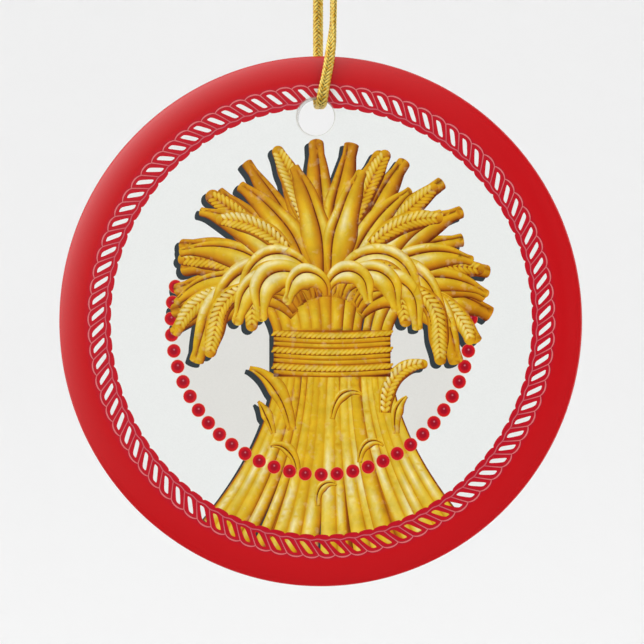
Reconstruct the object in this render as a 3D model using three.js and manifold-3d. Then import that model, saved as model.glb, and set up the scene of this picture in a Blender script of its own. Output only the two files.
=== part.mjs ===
// A round, flat, glazed ceramic ornament that hangs by a loop of flat braided cord.
// Millimetres, +Z up. The origin is the hang point: the inside top of the loop,
// just under the knot, where a hook or twig carries it. The disc hangs below in the
// XZ plane, with its decorated face towards -Y.
import * as THREE from 'three';
import { mergeVertices } from 'three/addons/utils/BufferGeometryUtils.js';
import Module from 'manifold-3d';

const wasm = await Module();
wasm.setup();

// The disc. Firing has left it a little taller than wide.
const DISC_WIDTH = 72.5;
const DISC_HEIGHT = 73.5;
const DISC_THICKNESS = 4;
const FRONT_DOME_WIDTH = 3.6; // the front edge rolls off over this width ...
const FRONT_DOME_DROP = 1.3; // ... and by this depth
const BACK_EDGE_RADIUS = 0.9;
const DISC_SIDES = 96;
const EDGE_STEPS = 7;

// The hanging hole, a little left of the middle, with a rounded lip on both faces.
const HOLE_X = -0.7;
const HOLE_ABOVE_CENTRE = 28.2;
const HOLE_RADIUS = 2.57;
const HOLE_LIP = 0.28;
const HOLE_SIDES = 48;
const LIP_STEPS = 4;

// The cord: a flat braid, doubled through the hole and knotted at the top.
const CORD_WIDTH = 1.4;
const CORD_THICKNESS = 0.9;
const CORD_SIDES = 8;
const CORD_STEPS = 80;
const HANG_ABOVE_CENTRE = 82; // the hang point, above the disc's centre

// The route of the doubled cord, from under the knot down the front of the disc,
// through the top of the hole, and up behind the disc to the knot again.
const CORD_ROUTE = [
  [0.4, -0.65, 0],
  [0.62, -0.8, -7],
  [1.05, -1.05, -17],
  [1.5, -1.45, -27],
  [1.72, -1.8, -34],
  [1.75, -2.1, -39],
  [1.67, -2.3, -41.5],
  [1.48, -2.52, -43.6],
  [1.2, -2.7, -45.9],
  [0.8, -2.75, -48.2],
  [0.39, -2.75, -50.25],
  [0.3, -2.69, -50.95],
  [0.22, -2.43, -51.57],
  [0.16, -1.93, -51.9],
  [0.1, -1.15, -52.02],
  [-0.02, 0, -52.02],
  [-0.14, 1.15, -52.02],
  [-0.2, 1.93, -51.9],
  [-0.26, 2.43, -51.57],
  [-0.31, 2.69, -50.95],
  [-0.34, 2.75, -50.25],
  [-0.38, 2.75, -47.5],
  [-0.38, 2.68, -44],
  [-0.38, 2.4, -38],
  [-0.4, 1.8, -26],
  [-0.42, 1.25, -14],
  [-0.41, 0.85, -5],
  [-0.4, 0.65, 0],
];

// The knot: both strands tied together in an overhand knot, with two short tails.
const KNOT_BOTTOM = 0.3;
const KNOT_HEIGHT = 4.4;
const KNOT_RADIUS = 1.75;
const KNOT_FLATTENING = 0.85; // depth over width
const KNOT_TURN_RADIUS = 1.45;
const KNOT_TURN_THICKNESS = 0.62;
const KNOT_TURN_TILT = THREE.MathUtils.degToRad(28);
const KNOT_SIDES = 24;
const TAIL_STEPS = 8;
const TAIL_ROUTES = [
  [[0.35, -0.4, 3.4], [0.8, -0.7, 7], [2.1, -0.9, 11.4]],
  [[-0.35, 0.4, 3.4], [-0.7, 0.6, 7], [-1.5, 0.5, 10.6]],
];

const GLAZE = new THREE.MeshStandardMaterial({ color: 0xf1f1ee, roughness: 0.12 });
const GOLD_BRAID = new THREE.MeshStandardMaterial({
  color: 0xd9b23c,
  roughness: 0.4,
  metalness: 0.8,
});

// A closed geometry as a manifold solid, with seams and poles merged.
function toSolid(geometry) {
  const bare = geometry.clone();
  bare.deleteAttribute('normal');
  bare.deleteAttribute('uv');
  const merged = mergeVertices(bare, 1e-4);
  const corners = [...merged.index.array];
  const triVerts = [];
  for (let i = 0; i < corners.length; i += 3) {
    const [a, b, c] = corners.slice(i, i + 3);
    if (a !== b && b !== c && c !== a) triVerts.push(a, b, c);
  }
  return new wasm.Manifold(new wasm.Mesh({
    numProp: 3,
    vertProperties: new Float32Array(merged.attributes.position.array),
    triVerts: new Uint32Array(triVerts),
  }));
}

// A manifold solid back as a geometry.
function toGeometry(solid) {
  const mesh = solid.getMesh();
  const geometry = new THREE.BufferGeometry();
  geometry.setAttribute('position', new THREE.BufferAttribute(mesh.vertProperties, 3));
  geometry.setIndex(new THREE.BufferAttribute(mesh.triVerts, 1));
  geometry.computeVertexNormals();
  return geometry;
}

// Points of a quarter ellipse round a centre, from one angle to another.
function quarter(centreX, centreY, radiusX, radiusY, from, to, steps) {
  return Array.from({ length: steps + 1 }, (_, i) => {
    const angle = THREE.MathUtils.lerp(from, to, i / steps);
    return new THREE.Vector2(
      centreX + radiusX * Math.cos(angle),
      centreY + radiusY * Math.sin(angle),
    );
  });
}

// The disc's turned profile: flat face, domed front edge, side, rounded back edge.
function discProfile() {
  const rim = DISC_HEIGHT / 2;
  const front = -DISC_THICKNESS / 2;
  const back = DISC_THICKNESS / 2;
  const frontEdge = quarter(
    rim - FRONT_DOME_WIDTH, front + FRONT_DOME_DROP,
    FRONT_DOME_WIDTH, FRONT_DOME_DROP, -Math.PI / 2, 0, EDGE_STEPS,
  );
  const backEdge = quarter(
    rim - BACK_EDGE_RADIUS, back - BACK_EDGE_RADIUS,
    BACK_EDGE_RADIUS, BACK_EDGE_RADIUS, 0, Math.PI / 2, EDGE_STEPS,
  );
  return [new THREE.Vector2(0, front), ...frontEdge, ...backEdge, new THREE.Vector2(0, back)];
}

// The tool that opens the hole and rounds its lip on both faces.
function holeProfile() {
  const mouth = HOLE_RADIUS + HOLE_LIP;
  const face = DISC_THICKNESS / 2;
  const beyond = face + 1;
  const frontLip = quarter(
    mouth, -face + HOLE_LIP, HOLE_LIP, HOLE_LIP, -Math.PI / 2, -Math.PI, LIP_STEPS,
  );
  const backLip = quarter(
    mouth, face - HOLE_LIP, HOLE_LIP, HOLE_LIP, Math.PI, Math.PI / 2, LIP_STEPS,
  );
  return [
    new THREE.Vector2(0, -beyond),
    new THREE.Vector2(mouth, -beyond),
    ...frontLip,
    ...backLip,
    new THREE.Vector2(mouth, beyond),
    new THREE.Vector2(0, beyond),
  ];
}

function ceramicDisc() {
  const blank = new THREE.LatheGeometry(discProfile(), DISC_SIDES);
  blank.scale(DISC_WIDTH / DISC_HEIGHT, 1, 1);
  const hole = new THREE.LatheGeometry(holeProfile(), HOLE_SIDES);
  hole.translate(HOLE_X, 0, HOLE_ABOVE_CENTRE);
  const disc = new THREE.Mesh(toGeometry(toSolid(blank).subtract(toSolid(hole))), GLAZE);
  disc.name = 'ceramic_disc';
  disc.position.z = -HANG_ABOVE_CENTRE;
  return disc;
}

// The cord's flat oval section, with its width along the section's own y.
function cordSection() {
  const corners = Array.from({ length: CORD_SIDES }, (_, i) => {
    const angle = ((i + 0.5) / CORD_SIDES) * 2 * Math.PI;
    return new THREE.Vector2(
      (CORD_THICKNESS / 2) * Math.cos(angle),
      (CORD_WIDTH / 2) * Math.sin(angle),
    );
  });
  return new THREE.Shape(corners);
}

function cordAlong(route, steps) {
  const extrudePath = new THREE.CatmullRomCurve3(route.map((p) => new THREE.Vector3(...p)));
  return new THREE.ExtrudeGeometry(cordSection(), { steps, extrudePath, bevelEnabled: false });
}

function hangingCord() {
  const cord = new THREE.Mesh(cordAlong(CORD_ROUTE, CORD_STEPS), GOLD_BRAID);
  cord.name = 'hanging_cord';
  return cord;
}

// The knot's core: a barrel with a flat underside, where the two strands go in.
function knotCore() {
  const middle = KNOT_BOTTOM + KNOT_HEIGHT / 2;
  const upper = quarter(0, middle, KNOT_RADIUS, KNOT_HEIGHT / 2, -Math.PI / 3, Math.PI / 2, 8);
  const foot = new THREE.Vector2(KNOT_RADIUS * 0.6, KNOT_BOTTOM);
  const profile = [new THREE.Vector2(0, KNOT_BOTTOM), foot, ...upper];
  return new THREE.LatheGeometry(profile, KNOT_SIDES).rotateX(Math.PI / 2);
}

// One turn of cord round the knot, tilted as an overhand knot pulls it.
function knotTurn(tilt, height) {
  const turn = new THREE.TorusGeometry(
    KNOT_TURN_RADIUS, KNOT_TURN_THICKNESS, CORD_SIDES, KNOT_SIDES,
  );
  return turn.rotateY(tilt).translate(0, 0, height);
}

function cordKnot() {
  const middle = KNOT_BOTTOM + KNOT_HEIGHT / 2;
  const lump = [knotTurn(KNOT_TURN_TILT, middle + 0.35), knotTurn(-KNOT_TURN_TILT, middle - 0.35)]
    .reduce((solid, turn) => solid.add(toSolid(turn)), toSolid(knotCore()));
  const flattened = toGeometry(lump).scale(1, KNOT_FLATTENING, 1);
  const whole = TAIL_ROUTES.reduce(
    (solid, route) => solid.add(toSolid(cordAlong(route, TAIL_STEPS))),
    toSolid(flattened),
  );
  const knot = new THREE.Mesh(toGeometry(whole), GOLD_BRAID);
  knot.name = 'cord_knot';
  return knot;
}

const ornament = new THREE.Group();
ornament.add(ceramicDisc(), hangingCord(), cordKnot());

export default ornament;
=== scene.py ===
"""A round glazed ceramic ornament, hung from a knotted loop of flat gold braid.

Everything is in metres in the row frame: the origin is the hang point just under the
knot, +Z is up, and the decorated face looks towards -Y. Sizes that belong to the disc's
decoration are in millimetres on the round layout that the disc was decorated with, and
are squeezed sideways with the disc when they are placed.
"""

from __future__ import annotations

import logging
import math
from collections.abc import Callable
from dataclasses import dataclass, field
from enum import Enum

import bpy
import numpy as np
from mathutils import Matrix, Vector
from mathutils.geometry import delaunay_2d_cdt

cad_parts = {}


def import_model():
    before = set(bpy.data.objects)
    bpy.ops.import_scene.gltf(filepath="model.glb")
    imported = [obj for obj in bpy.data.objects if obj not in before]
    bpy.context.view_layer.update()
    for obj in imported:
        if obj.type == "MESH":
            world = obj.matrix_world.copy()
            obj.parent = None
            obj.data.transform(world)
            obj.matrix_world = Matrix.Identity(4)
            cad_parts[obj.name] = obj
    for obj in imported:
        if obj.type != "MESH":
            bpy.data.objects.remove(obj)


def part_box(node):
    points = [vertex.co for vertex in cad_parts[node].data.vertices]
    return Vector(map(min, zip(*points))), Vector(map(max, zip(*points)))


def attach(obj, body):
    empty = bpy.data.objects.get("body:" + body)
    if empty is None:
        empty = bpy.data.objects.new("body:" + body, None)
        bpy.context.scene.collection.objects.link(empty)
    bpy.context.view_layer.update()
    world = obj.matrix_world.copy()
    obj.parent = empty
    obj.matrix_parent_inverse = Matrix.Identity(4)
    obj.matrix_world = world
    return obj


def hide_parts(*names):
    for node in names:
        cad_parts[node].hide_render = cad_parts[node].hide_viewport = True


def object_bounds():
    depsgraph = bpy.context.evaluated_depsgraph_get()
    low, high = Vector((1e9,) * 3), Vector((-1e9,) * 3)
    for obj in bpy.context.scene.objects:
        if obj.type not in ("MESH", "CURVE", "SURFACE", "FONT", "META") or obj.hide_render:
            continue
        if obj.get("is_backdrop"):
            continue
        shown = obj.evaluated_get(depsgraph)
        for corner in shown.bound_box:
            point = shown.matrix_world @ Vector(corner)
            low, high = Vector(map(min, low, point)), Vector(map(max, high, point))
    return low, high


LOG = logging.getLogger("ornament")
MM = 0.001
FULL_TURN = 2.0 * math.pi

Array = np.ndarray
Ink = Callable[[Array], Array]


def linear(red: float, green: float, blue: float) -> Array:
    """Turn an 8-bit display colour into linear light.

    Args:
        red: Red, 0 to 255.
        green: Green, 0 to 255.
        blue: Blue, 0 to 255.

    Returns:
        The three linear values: the display value over 255, plus 0.055, over 1.055, to
        the power 2.4, or the value over 12.92 where it is under 0.04045.
    """
    shown = np.array([red, green, blue], float) / 255.0
    return np.where(shown <= 0.04045, shown / 12.92, ((shown + 0.055) / 1.055) ** 2.4)


def smooth(values: Array, low: float, high: float) -> Array:
    """Blend from 0 at low to 1 at high as three t squared less two t cubed."""
    t = np.clip((values - low) / (high - low), 0.0, 1.0)
    return t * t * (3.0 - 2.0 * t)


def ramp(values: Array, stops: Array, colours: Array) -> Array:
    """Read a colour ramp.

    Args:
        values: Where to read it, from 0 to 1.
        stops: The rising places of its colours.
        colours: One colour for each stop.

    Returns:
        One colour for each value, mixed in a straight line between stops.
    """
    return np.stack([np.interp(values, stops, colours[:, c]) for c in range(3)], axis=-1)


def inside(points: Array, outline: Array) -> Array:
    """Test which points lie in a closed outline.

    Args:
        points: The points, n by 2.
        outline: The outline's corners in order, m by 2.

    Returns:
        True where a ray towards +x crosses the outline an odd number of times.
    """
    x0, y0 = outline[:, 0], outline[:, 1]
    x1, y1 = np.roll(x0, -1), np.roll(y0, -1)
    slope = (x1 - x0) / np.where(y1 == y0, 1e-12, y1 - y0)
    found = np.zeros(len(points), bool)
    for part in np.array_split(np.arange(len(points)), 1 + len(points) // 4000):
        x, y = points[part, :1], points[part, 1:]
        crosses = ((y0 > y) != (y1 > y)) & (x < x0 + (y - y0) * slope)
        found[part] = crosses.sum(axis=1) % 2 == 1
    return found


@dataclass(frozen=True)
class DiscSizes:
    """The ceramic blank's sizes, in millimetres, worked out from its solid."""

    width: float
    height: float
    thickness: float
    centre_z: float
    dome_width: float = 3.6
    dome_drop: float = 1.3
    red_side: float = 0.4
    back_radius: float = 0.9
    hole_x: float = -0.7
    hole_up: float = 28.2
    hole_radius: float = 2.57
    hole_lip: float = 0.28
    hole_slant: tuple[float, float] = (0.2, 0.2)

    @property
    def radius(self) -> float:
        """Radius of the round layout, which is half the height."""
        return self.height / 2.0

    @property
    def squeeze(self) -> float:
        """Width over height."""
        return self.width / self.height

    @property
    def flat_radius(self) -> float:
        """Radius of the flat part of the front face."""
        return self.radius - self.dome_width

    def hole_centre(self, depth: float) -> Array:
        """Middle of the bore at a depth: it slants away from its place on the front."""
        return (np.array([self.hole_x, self.hole_up])
                + np.array(self.hole_slant) * (0.5 + depth / self.thickness))


# --------------------------------------------------------------------------------------
# Ink shapes: closed outlines on the flat face, each with its own colouring
# --------------------------------------------------------------------------------------


@dataclass
class InkShape:
    """One printed shape: an outline, how it is coloured, points that carry shading, and
    whether it is gilding."""

    outline: Array
    ink: Ink
    guides: Array = field(default_factory=lambda: np.empty((0, 2)))
    gilt: bool = False

    def covers(self, points: Array) -> Array:
        """Tell which points this shape covers."""
        low, high = self.outline.min(axis=0), self.outline.max(axis=0)
        near = np.flatnonzero(((points >= low) & (points <= high)).all(axis=1))
        found = np.zeros(len(points), bool)
        found[near] = inside(points[near], self.outline)
        return found

    def loops(self) -> list[Array]:
        """Return the closed loops that bound the shape."""
        return [self.outline]


@dataclass(frozen=True)
class GoldRamp:
    """The carved gold's colours, from its deepest shade to its highlight."""

    stops: tuple[float, ...] = (0.0, 0.16, 0.34, 0.52, 0.7, 0.86, 1.0)
    shades: tuple[tuple[int, int, int], ...] = (
        (104, 38, 4),
        (154, 76, 8),
        (192, 120, 12),
        (211, 155, 20),
        (223, 182, 34),
        (231, 204, 84),
        (242, 228, 166),
    )

    def colours(self, light: Array) -> Array:
        """Colour each point by how much light it gets, from 0 to 1."""
        shades = np.array([linear(*shade) for shade in self.shades])
        return ramp(np.clip(light, 0.0, 1.0), np.array(self.stops), shades)


GOLD = GoldRamp()
LIGHT_FROM = np.array([-0.52, 0.854])


@dataclass
class Ribbon:
    """A long carved form: a centreline with a width that changes along it.

    Creases split it lengthways into rounded folds, each shaded by itself.
    """

    centre: Array
    half_width: Array
    brightness: float = 0.5
    relief: float = 0.42
    creases: tuple[float, ...] = ()
    fade: float = 0.0
    tip_fade: float = 0.0
    gloss: float = 0.25
    gloss_at: float = 0.6
    rounding: float = 0.0

    def normals(self) -> Array:
        """Unit directions to the left of the centreline, square to it."""
        along = np.gradient(self.centre, axis=0)
        along /= np.maximum(np.linalg.norm(along, axis=1, keepdims=True), 1e-9)
        return np.stack([-along[:, 1], along[:, 0]], axis=1)

    def row(self, across: float) -> Array:
        """The line at a share of the half width: centre plus share times width times normal."""
        return self.centre + across * self.half_width[:, None] * self.normals()

    def outline(self) -> Array:
        """The closed outline: up the left edge, round the end (an oval arc whose depth is
        the rounding times the half width) and down the right edge."""
        left = self.normals()[-1]
        ahead = np.array([left[1], -left[0]])
        turn = np.linspace(0.0, math.pi, 9 if self.rounding else 2)[1:-1, None]
        arc = np.cos(turn) * left + self.rounding * np.sin(turn) * ahead
        end = self.centre[-1] + self.half_width[-1] * arc
        return np.concatenate([self.row(1.0), end, self.row(-1.0)[::-1]])

    def guides(self) -> Array:
        """Rows of points that carry the shading: near each fold's sides, and within it."""
        rows = []
        for low, high in zip((-1.0, *self.creases), (*self.creases, 1.0)):
            middle, half = (low + high) / 2.0, (high - low) / 2.0
            rows += [middle + half * share for share in (-0.8, -0.45, 0.0, 0.45, 0.8)]
        return np.concatenate([self.row(a)[1:-1] for a in rows])

    def place(self, points: Array) -> tuple[Array, Array, Array]:
        """Find where points lie on the ribbon.

        Args:
            points: The points, n by 2.

        Returns:
            For each point its share along the ribbon, its share across it from -1 to 1,
            and the left normal there: the nearest centreline sample, moved along by the
            part of the offset that runs with the line.
        """
        offsets = points[:, None, :] - self.centre[None, :, :]
        nearest = (offsets**2).sum(axis=2).argmin(axis=1)
        normal = self.normals()[nearest]
        gap = points - self.centre[nearest]
        along = np.stack([normal[:, 1], -normal[:, 0]], axis=1)
        step = np.linalg.norm(np.diff(self.centre, axis=0), axis=1).mean()
        share = (nearest + (gap * along).sum(axis=1) / step) / (len(self.centre) - 1)
        width = np.interp(share * (len(self.centre) - 1), range(len(self.centre)), self.half_width)
        across = (gap * normal).sum(axis=1) / np.maximum(width, 0.05)
        return np.clip(share, 0.0, 1.0), np.clip(across, -1.0, 1.0), normal

    def ink(self, points: Array) -> Array:
        """Shade rounded folds lit from the upper left.

        Args:
            points: Where to shade.

        Returns:
            Gold for the base brightness, plus the relief times the fold's tilt to the
            light, less a rim that grows with the fourth power of the place in the fold,
            less the fades at the root and the tip, plus a highlight on the lit side.
        """
        along, across, normal = self.place(points)
        edges = np.array([-1.0, *self.creases, 1.0])
        fold = np.clip(np.searchsorted(edges, across, side="right") - 1, 0, len(edges) - 2)
        middle = (edges[fold] + edges[fold + 1]) / 2.0
        tilt = (across - middle) / ((edges[fold + 1] - edges[fold]) / 2.0)
        lit = (normal * LIGHT_FROM).sum(axis=1)
        light = self.brightness + self.relief * lit * tilt - 0.34 * tilt**4
        light -= self.fade * (1.0 - smooth(along, 0.0, 0.4))
        light -= self.tip_fade * smooth(along, 0.55, 1.0)
        spot = np.exp(-(((along - self.gloss_at) / 0.15) ** 2))
        light += self.gloss * spot * np.exp(-(((tilt - 0.42 * lit) / 0.4) ** 2))
        return GOLD.colours(light)

    def shape(self) -> InkShape:
        """The ribbon as an ink shape."""
        return InkShape(self.outline(), self.ink, self.guides(), True)

    def shapes(self) -> list[InkShape]:
        """The ribbon, with a thin deep line in each crease over most of its length."""
        made = [self.shape()]
        samples = len(self.centre)
        part = slice(samples // 8, samples - max(1, samples // 10))
        for crease in self.creases:
            line = self.row(crease)[part]
            share = np.linspace(0.0, 1.0, len(line))
            width = 0.03 + 0.06 * np.sin(math.pi * share)
            width = np.minimum(width, 0.25 * self.half_width[part])
            made.append(Ribbon(line, width, 0.24, relief=0.0, gloss=0.0).outline_only())
        return made

    def outline_only(self) -> InkShape:
        """The ribbon without inner points, for one too thin to carry shading."""
        return InkShape(self.outline(), self.ink, gilt=True)


def arching(start: tuple[float, float], heading: float, turn: float, length: float,
            samples: int = 22, settle: float = 1.0, until: float = 1.0) -> Array:
    """Follow a stem that leans over as it grows.

    Args:
        start: Where it starts, in millimetres.
        heading: Its first direction, in degrees clockwise from straight up.
        turn: How many degrees it turns by its tip.
        length: Its length.
        samples: How many points to give.
        settle: The power of the share along at which the turn is spread.
        until: The share along where the turn is over and it hangs straight.

    Returns:
        The running sum of equal steps whose heading is the first one plus the turn
        times the share along, over until but no more than one, to the power settle.
    """
    share = np.linspace(0.0, 1.0, samples)
    angle = np.radians(heading + turn * np.minimum(share / until, 1.0) ** settle)
    step = length / (samples - 1)
    moves = step * np.stack([np.sin(angle), np.cos(angle)], axis=1)
    path = np.concatenate([[[0.0, 0.0]], np.cumsum((moves[1:] + moves[:-1]) / 2.0, axis=0)])
    return path + np.array(start)


def leaf_width(samples: int, widest: float, root: float = 0.3, peak: float = 0.55,
               blunt: float = 0.0, wave: float = 0.0) -> Array:
    """Half width of a leaf.

    Args:
        samples: How many values.
        widest: The largest.
        root: Share of it at the root.
        peak: Share along where it is widest.
        blunt: Share of it left at the tip.
        wave: Phase of the edge's slight wave.

    Returns:
        The swell from the root, times the tip's narrowing (the root of the share left,
        but no less than blunt), times one plus a small wave.
    """
    share = np.linspace(0.0, 1.0, samples)
    swell = root + (1.0 - root) * smooth(share, 0.0, peak)
    tip = np.sqrt(np.clip((1.0 - share) / (1.0 - peak), 0.0, 1.0))
    ripple = 1.0 + 0.07 * np.sin(13.0 * share + wave)
    return np.maximum(widest * swell * np.maximum(tip, blunt) * ripple, 0.02)


def grain_outline(samples: int = 10) -> Array:
    """An oval grain along +y, one unit long and wide, a little fuller towards its end."""
    turn = np.linspace(0.0, FULL_TURN, samples, endpoint=False)
    y = 0.5 - 0.5 * np.cos(turn)
    return np.stack([0.5 * np.sin(turn) * (0.82 + 0.3 * y), y], axis=1)


@dataclass
class Grain:
    """One grain of an ear: a small rounded drop."""

    base: Array
    direction: Array
    length: float
    width: float
    brightness: float

    def axes(self) -> tuple[Array, Array]:
        """The grain's own right and forward directions."""
        forward = self.direction / np.linalg.norm(self.direction)
        return np.array([forward[1], -forward[0]]), forward

    def ink(self, points: Array) -> Array:
        """Shade a drop: brightest up and to the left, darkening with the square to its rim."""
        right, forward = self.axes()
        gap = points - (self.base + 0.5 * self.length * forward)
        x, y = gap @ right / (0.5 * self.width), gap @ forward / (0.5 * self.length)
        facing = (gap @ LIGHT_FROM) / (0.5 * self.length)
        light = self.brightness + 0.3 - 0.42 * (0.8 * x**2 + 0.5 * y**2) + 0.26 * facing
        return GOLD.colours(light)

    def shape(self) -> InkShape:
        """The grain as an ink shape: the unit grain, scaled, turned and moved."""
        right, forward = self.axes()
        unit = grain_outline()
        place = unit[:, :1] * self.width * right + unit[:, 1:] * self.length * forward
        core = self.base + self.length * np.array([[0.35], [0.55], [0.75]]) * forward
        return InkShape(self.base + place, self.ink, core, True)


@dataclass
class Ear:
    """An ear of wheat: a rounded body with two rows of slanting grains, like a feather."""

    centre: Array
    half_width: float
    brightness: float
    pitch: float = 0.72

    def shapes(self) -> list[InkShape]:
        """The body, the deep ground of the grains, then the grains from root to tip."""
        samples = len(self.centre)
        share = np.linspace(0.0, 1.0, samples)
        narrow = (0.72 + 0.28 * smooth(share, 0.0, 0.3)) * (1.0 - 0.4 * smooth(share, 0.7, 1.0))
        body = Ribbon(self.centre, self.half_width * narrow, self.brightness - 0.04,
                      relief=0.36, tip_fade=0.03, gloss=0.0, rounding=1.0)
        ground = Ribbon(self.centre[:-1], 0.7 * self.half_width * narrow[:-1],
                        self.brightness - 0.27, relief=0.1, gloss=0.0, rounding=0.8)
        made = [body.shape(), ground.outline_only()]
        along = np.gradient(self.centre, axis=0)
        along /= np.linalg.norm(along, axis=1, keepdims=True)
        length = np.linalg.norm(np.diff(self.centre, axis=0), axis=1).sum()
        pairs = max(3, round(length / self.pitch))
        for pair in range(pairs):
            at = (pair + 0.1) / (pairs + 0.2)
            place = np.array([np.interp(at, share, self.centre[:, c]) for c in range(2)])
            ahead = np.array([np.interp(at, share, along[:, c]) for c in range(2)])
            wide = self.half_width * float(np.interp(at, share, narrow))
            for side in (-1.0, 1.0):
                out = side * np.array([-ahead[1], ahead[0]])
                lit = self.brightness - 0.02 + 0.1 * float(out @ LIGHT_FROM)
                made.append(Grain(place - 0.03 * out, 0.8 * ahead + 0.68 * out, 1.24 * wide,
                                  0.8 * self.pitch, lit).shape())
        return made


class Growth(Enum):
    """What a row of the sheaf's head is made of."""

    BLADES = "blades"
    EARS = "ears"


class Lay(Enum):
    """How a cord of the sheaf's band is made."""

    TWISTED = "twisted"
    PLAIN = "plain"


@dataclass(frozen=True)
class Row:
    """One row of the head, fanned out like an open hand.

    Pairs of numbers are for the middle of the row and for its sides. Lengths are in
    millimetres and angles in degrees.
    """

    growth: Growth
    count: int
    spread: float
    length: tuple[float, float]
    width: float
    lean: float
    turn: tuple[float, float]
    brightness: float
    blunt: float = 0.0
    head: float = 10.5
    peak: float = 0.55
    settle: float = 1.4
    until: float = 1.0
    tip_fade: float = 0.0


@dataclass
class WheatSheaf:
    """A traditional gilded wheat sheaf: stalks, a rope band, leaves and drooping ears."""

    seed: int = 11
    neck: tuple[float, float] = (0.9, 0.4)
    crown: tuple[float, float] = (4.6, 3.0)
    heart: tuple[float, float] = (13.5, 7.5)
    heart_up: float = 8.0
    heart_light: float = 0.13
    band_shift: float = 0.7
    band_sag: float = 0.42
    stalk_shift: float = 0.9
    waist_half: float = 8.3
    waist_top: float = -1.1
    waist_low: float = -7.4
    foot_level: float = -34.0
    foot_half: float = 22.5
    foot_radius: float = 32.1
    shadow_shift: tuple[float, float] = (-0.62, -0.5)
    shadow_ink: tuple[int, int, int] = (52, 60, 64)
    shadow_least: float = 3.0

    ROWS = (
        Row(Growth.BLADES, 18, 80.0, (22.9, 17.6), 2.05, 0.9, (4.0, 50.0), 0.49, blunt=0.45,
            peak=0.62, tip_fade=0.1),
        Row(Growth.EARS, 6, 66.0, (22.0, 19.0), 1.45, 0.8, (10.0, 50.0), 0.52),
        Row(Growth.BLADES, 12, 92.0, (19.6, 18.0), 2.15, 0.72, (18.0, 88.0), 0.58, blunt=0.34,
            peak=0.54, tip_fade=0.1),
        Row(Growth.EARS, 4, 94.0, (17.6, 19.2), 1.4, 0.62, (60.0, 104.0), 0.56),
    )
    FRONT = (
        Row(Growth.BLADES, 6, 96.0, (17.5, 19.6), 2.25, 0.46, (152.0, 118.0), 0.66, blunt=0.4,
            settle=1.2, until=0.75, tip_fade=0.12),
        Row(Growth.EARS, 4, 86.0, (16.2, 19.2), 1.45, 0.4, (168.0, 138.0), 0.58, head=11.0,
            settle=1.2, until=0.74),
        Row(Growth.BLADES, 5, 66.0, (11.4, 14.0), 2.1, 0.34, (168.0, 150.0), 0.69, blunt=0.4,
            settle=1.2, until=0.8),
        Row(Growth.BLADES, 1, 0.0, (9.5, 9.5), 1.9, 0.0, (172.0, 172.0), 0.7, blunt=0.4,
            settle=1.1, until=0.8),
    )

    BAND = (Lay.TWISTED, Lay.PLAIN, Lay.PLAIN) * 2 + (Lay.TWISTED, Lay.PLAIN)

    def __post_init__(self) -> None:
        """Start the one seeded source of small differences."""
        self.chance = np.random.default_rng(self.seed)

    def grow(self, row: Row) -> list[InkShape]:
        """Lay out one row.

        Args:
            row: What it is made of and how it fans out.

        Returns:
            Its shapes. A stem's fan angle is its place times the spread; its first
            heading is that angle times the lean, it turns over by an amount that grows
            from the middle to the sides, and it starts on a small oval round the neck.
        """
        made = []
        order = np.linspace(-1.0, 1.0, row.count)
        order = order[np.argsort(-np.abs(order), kind="stable")]
        for place in order:
            wobble = self.chance.normal(0.0, 1.0, 6)
            out = abs(place)
            side = math.copysign(1.0, place if out > 0.02 else wobble[0])
            length = row.length[0] + (row.length[1] - row.length[0]) * out + 0.7 * wobble[1]
            length -= 2.0 * math.exp(-((place / 0.14) ** 2))
            turn = side * (row.turn[0] + (row.turn[1] - row.turn[0]) * out) + 6.0 * wobble[2]
            angle = math.radians(place * row.spread * 0.85)
            start = (self.neck[0] + self.crown[0] * math.sin(angle),
                     self.neck[1] + self.crown[1] * math.cos(angle))
            heading = (place * row.spread + 3.0 * wobble[3]) * row.lean
            path = arching(start, heading, turn, length, 30, row.settle, row.until)
            bright = row.brightness + 0.035 * wobble[4]
            if row.growth is Growth.EARS:
                made += self.ear(row, heading, turn, length, start, bright)
            else:
                crease = 0.3 * side + 0.12 * wobble[5]
                widths = leaf_width(len(path), row.width * (1.0 + 0.1 * wobble[5]),
                                    peak=row.peak, blunt=row.blunt, wave=3.0 * wobble[0])
                made += Ribbon(path, widths, bright, creases=(crease,), fade=0.3,
                               tip_fade=row.tip_fade, gloss=0.34,
                               rounding=0.3 + 0.35 * abs(wobble[2]),
                               gloss_at=0.55 + 0.08 * wobble[5]).shapes()
        return made

    def ear(self, row: Row, heading: float, turn: float, length: float,
            start: tuple[float, float], bright: float) -> list[InkShape]:
        """An ear and the stem that carries it."""
        path = arching(start, heading, turn, length, 72, row.settle, row.until)
        first = max(0, int(len(path) * (1.0 - row.head / length)))
        stem = path[: first + 3 : 3]
        made = []
        if len(stem) > 3:
            made.append(Ribbon(stem, np.full(len(stem), 0.5), bright, fade=0.25,
                               gloss=0.0).shape())
        return made + Ear(path[first::2], row.width, bright).shapes()

    def stalk_line(self, share: float, sway: float, fall: Array) -> Array:
        """Trace one stalk.

        Args:
            share: Its place across the waist, from -1 to 1.
            sway: How far it bends aside in the middle.
            fall: How far down each place is, from 0 under the band to 1 at the foot.

        Returns:
            Places whose sideways step from the waist to the foot grows with the fall to
            the power 1.75, so that the foot flares, plus the sway times half a sine.
        """
        top = share * (self.waist_half - 0.7)
        foot = share * self.foot_half
        x = self.neck[0] + self.stalk_shift + top + (foot - top) * fall**1.75
        x += 0.16 * sway * np.sin(math.pi * fall)
        drop = self.foot_level - self.waist_low - 1.0
        return np.stack([x, self.waist_low + 1.0 + drop * fall], axis=1)

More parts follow.
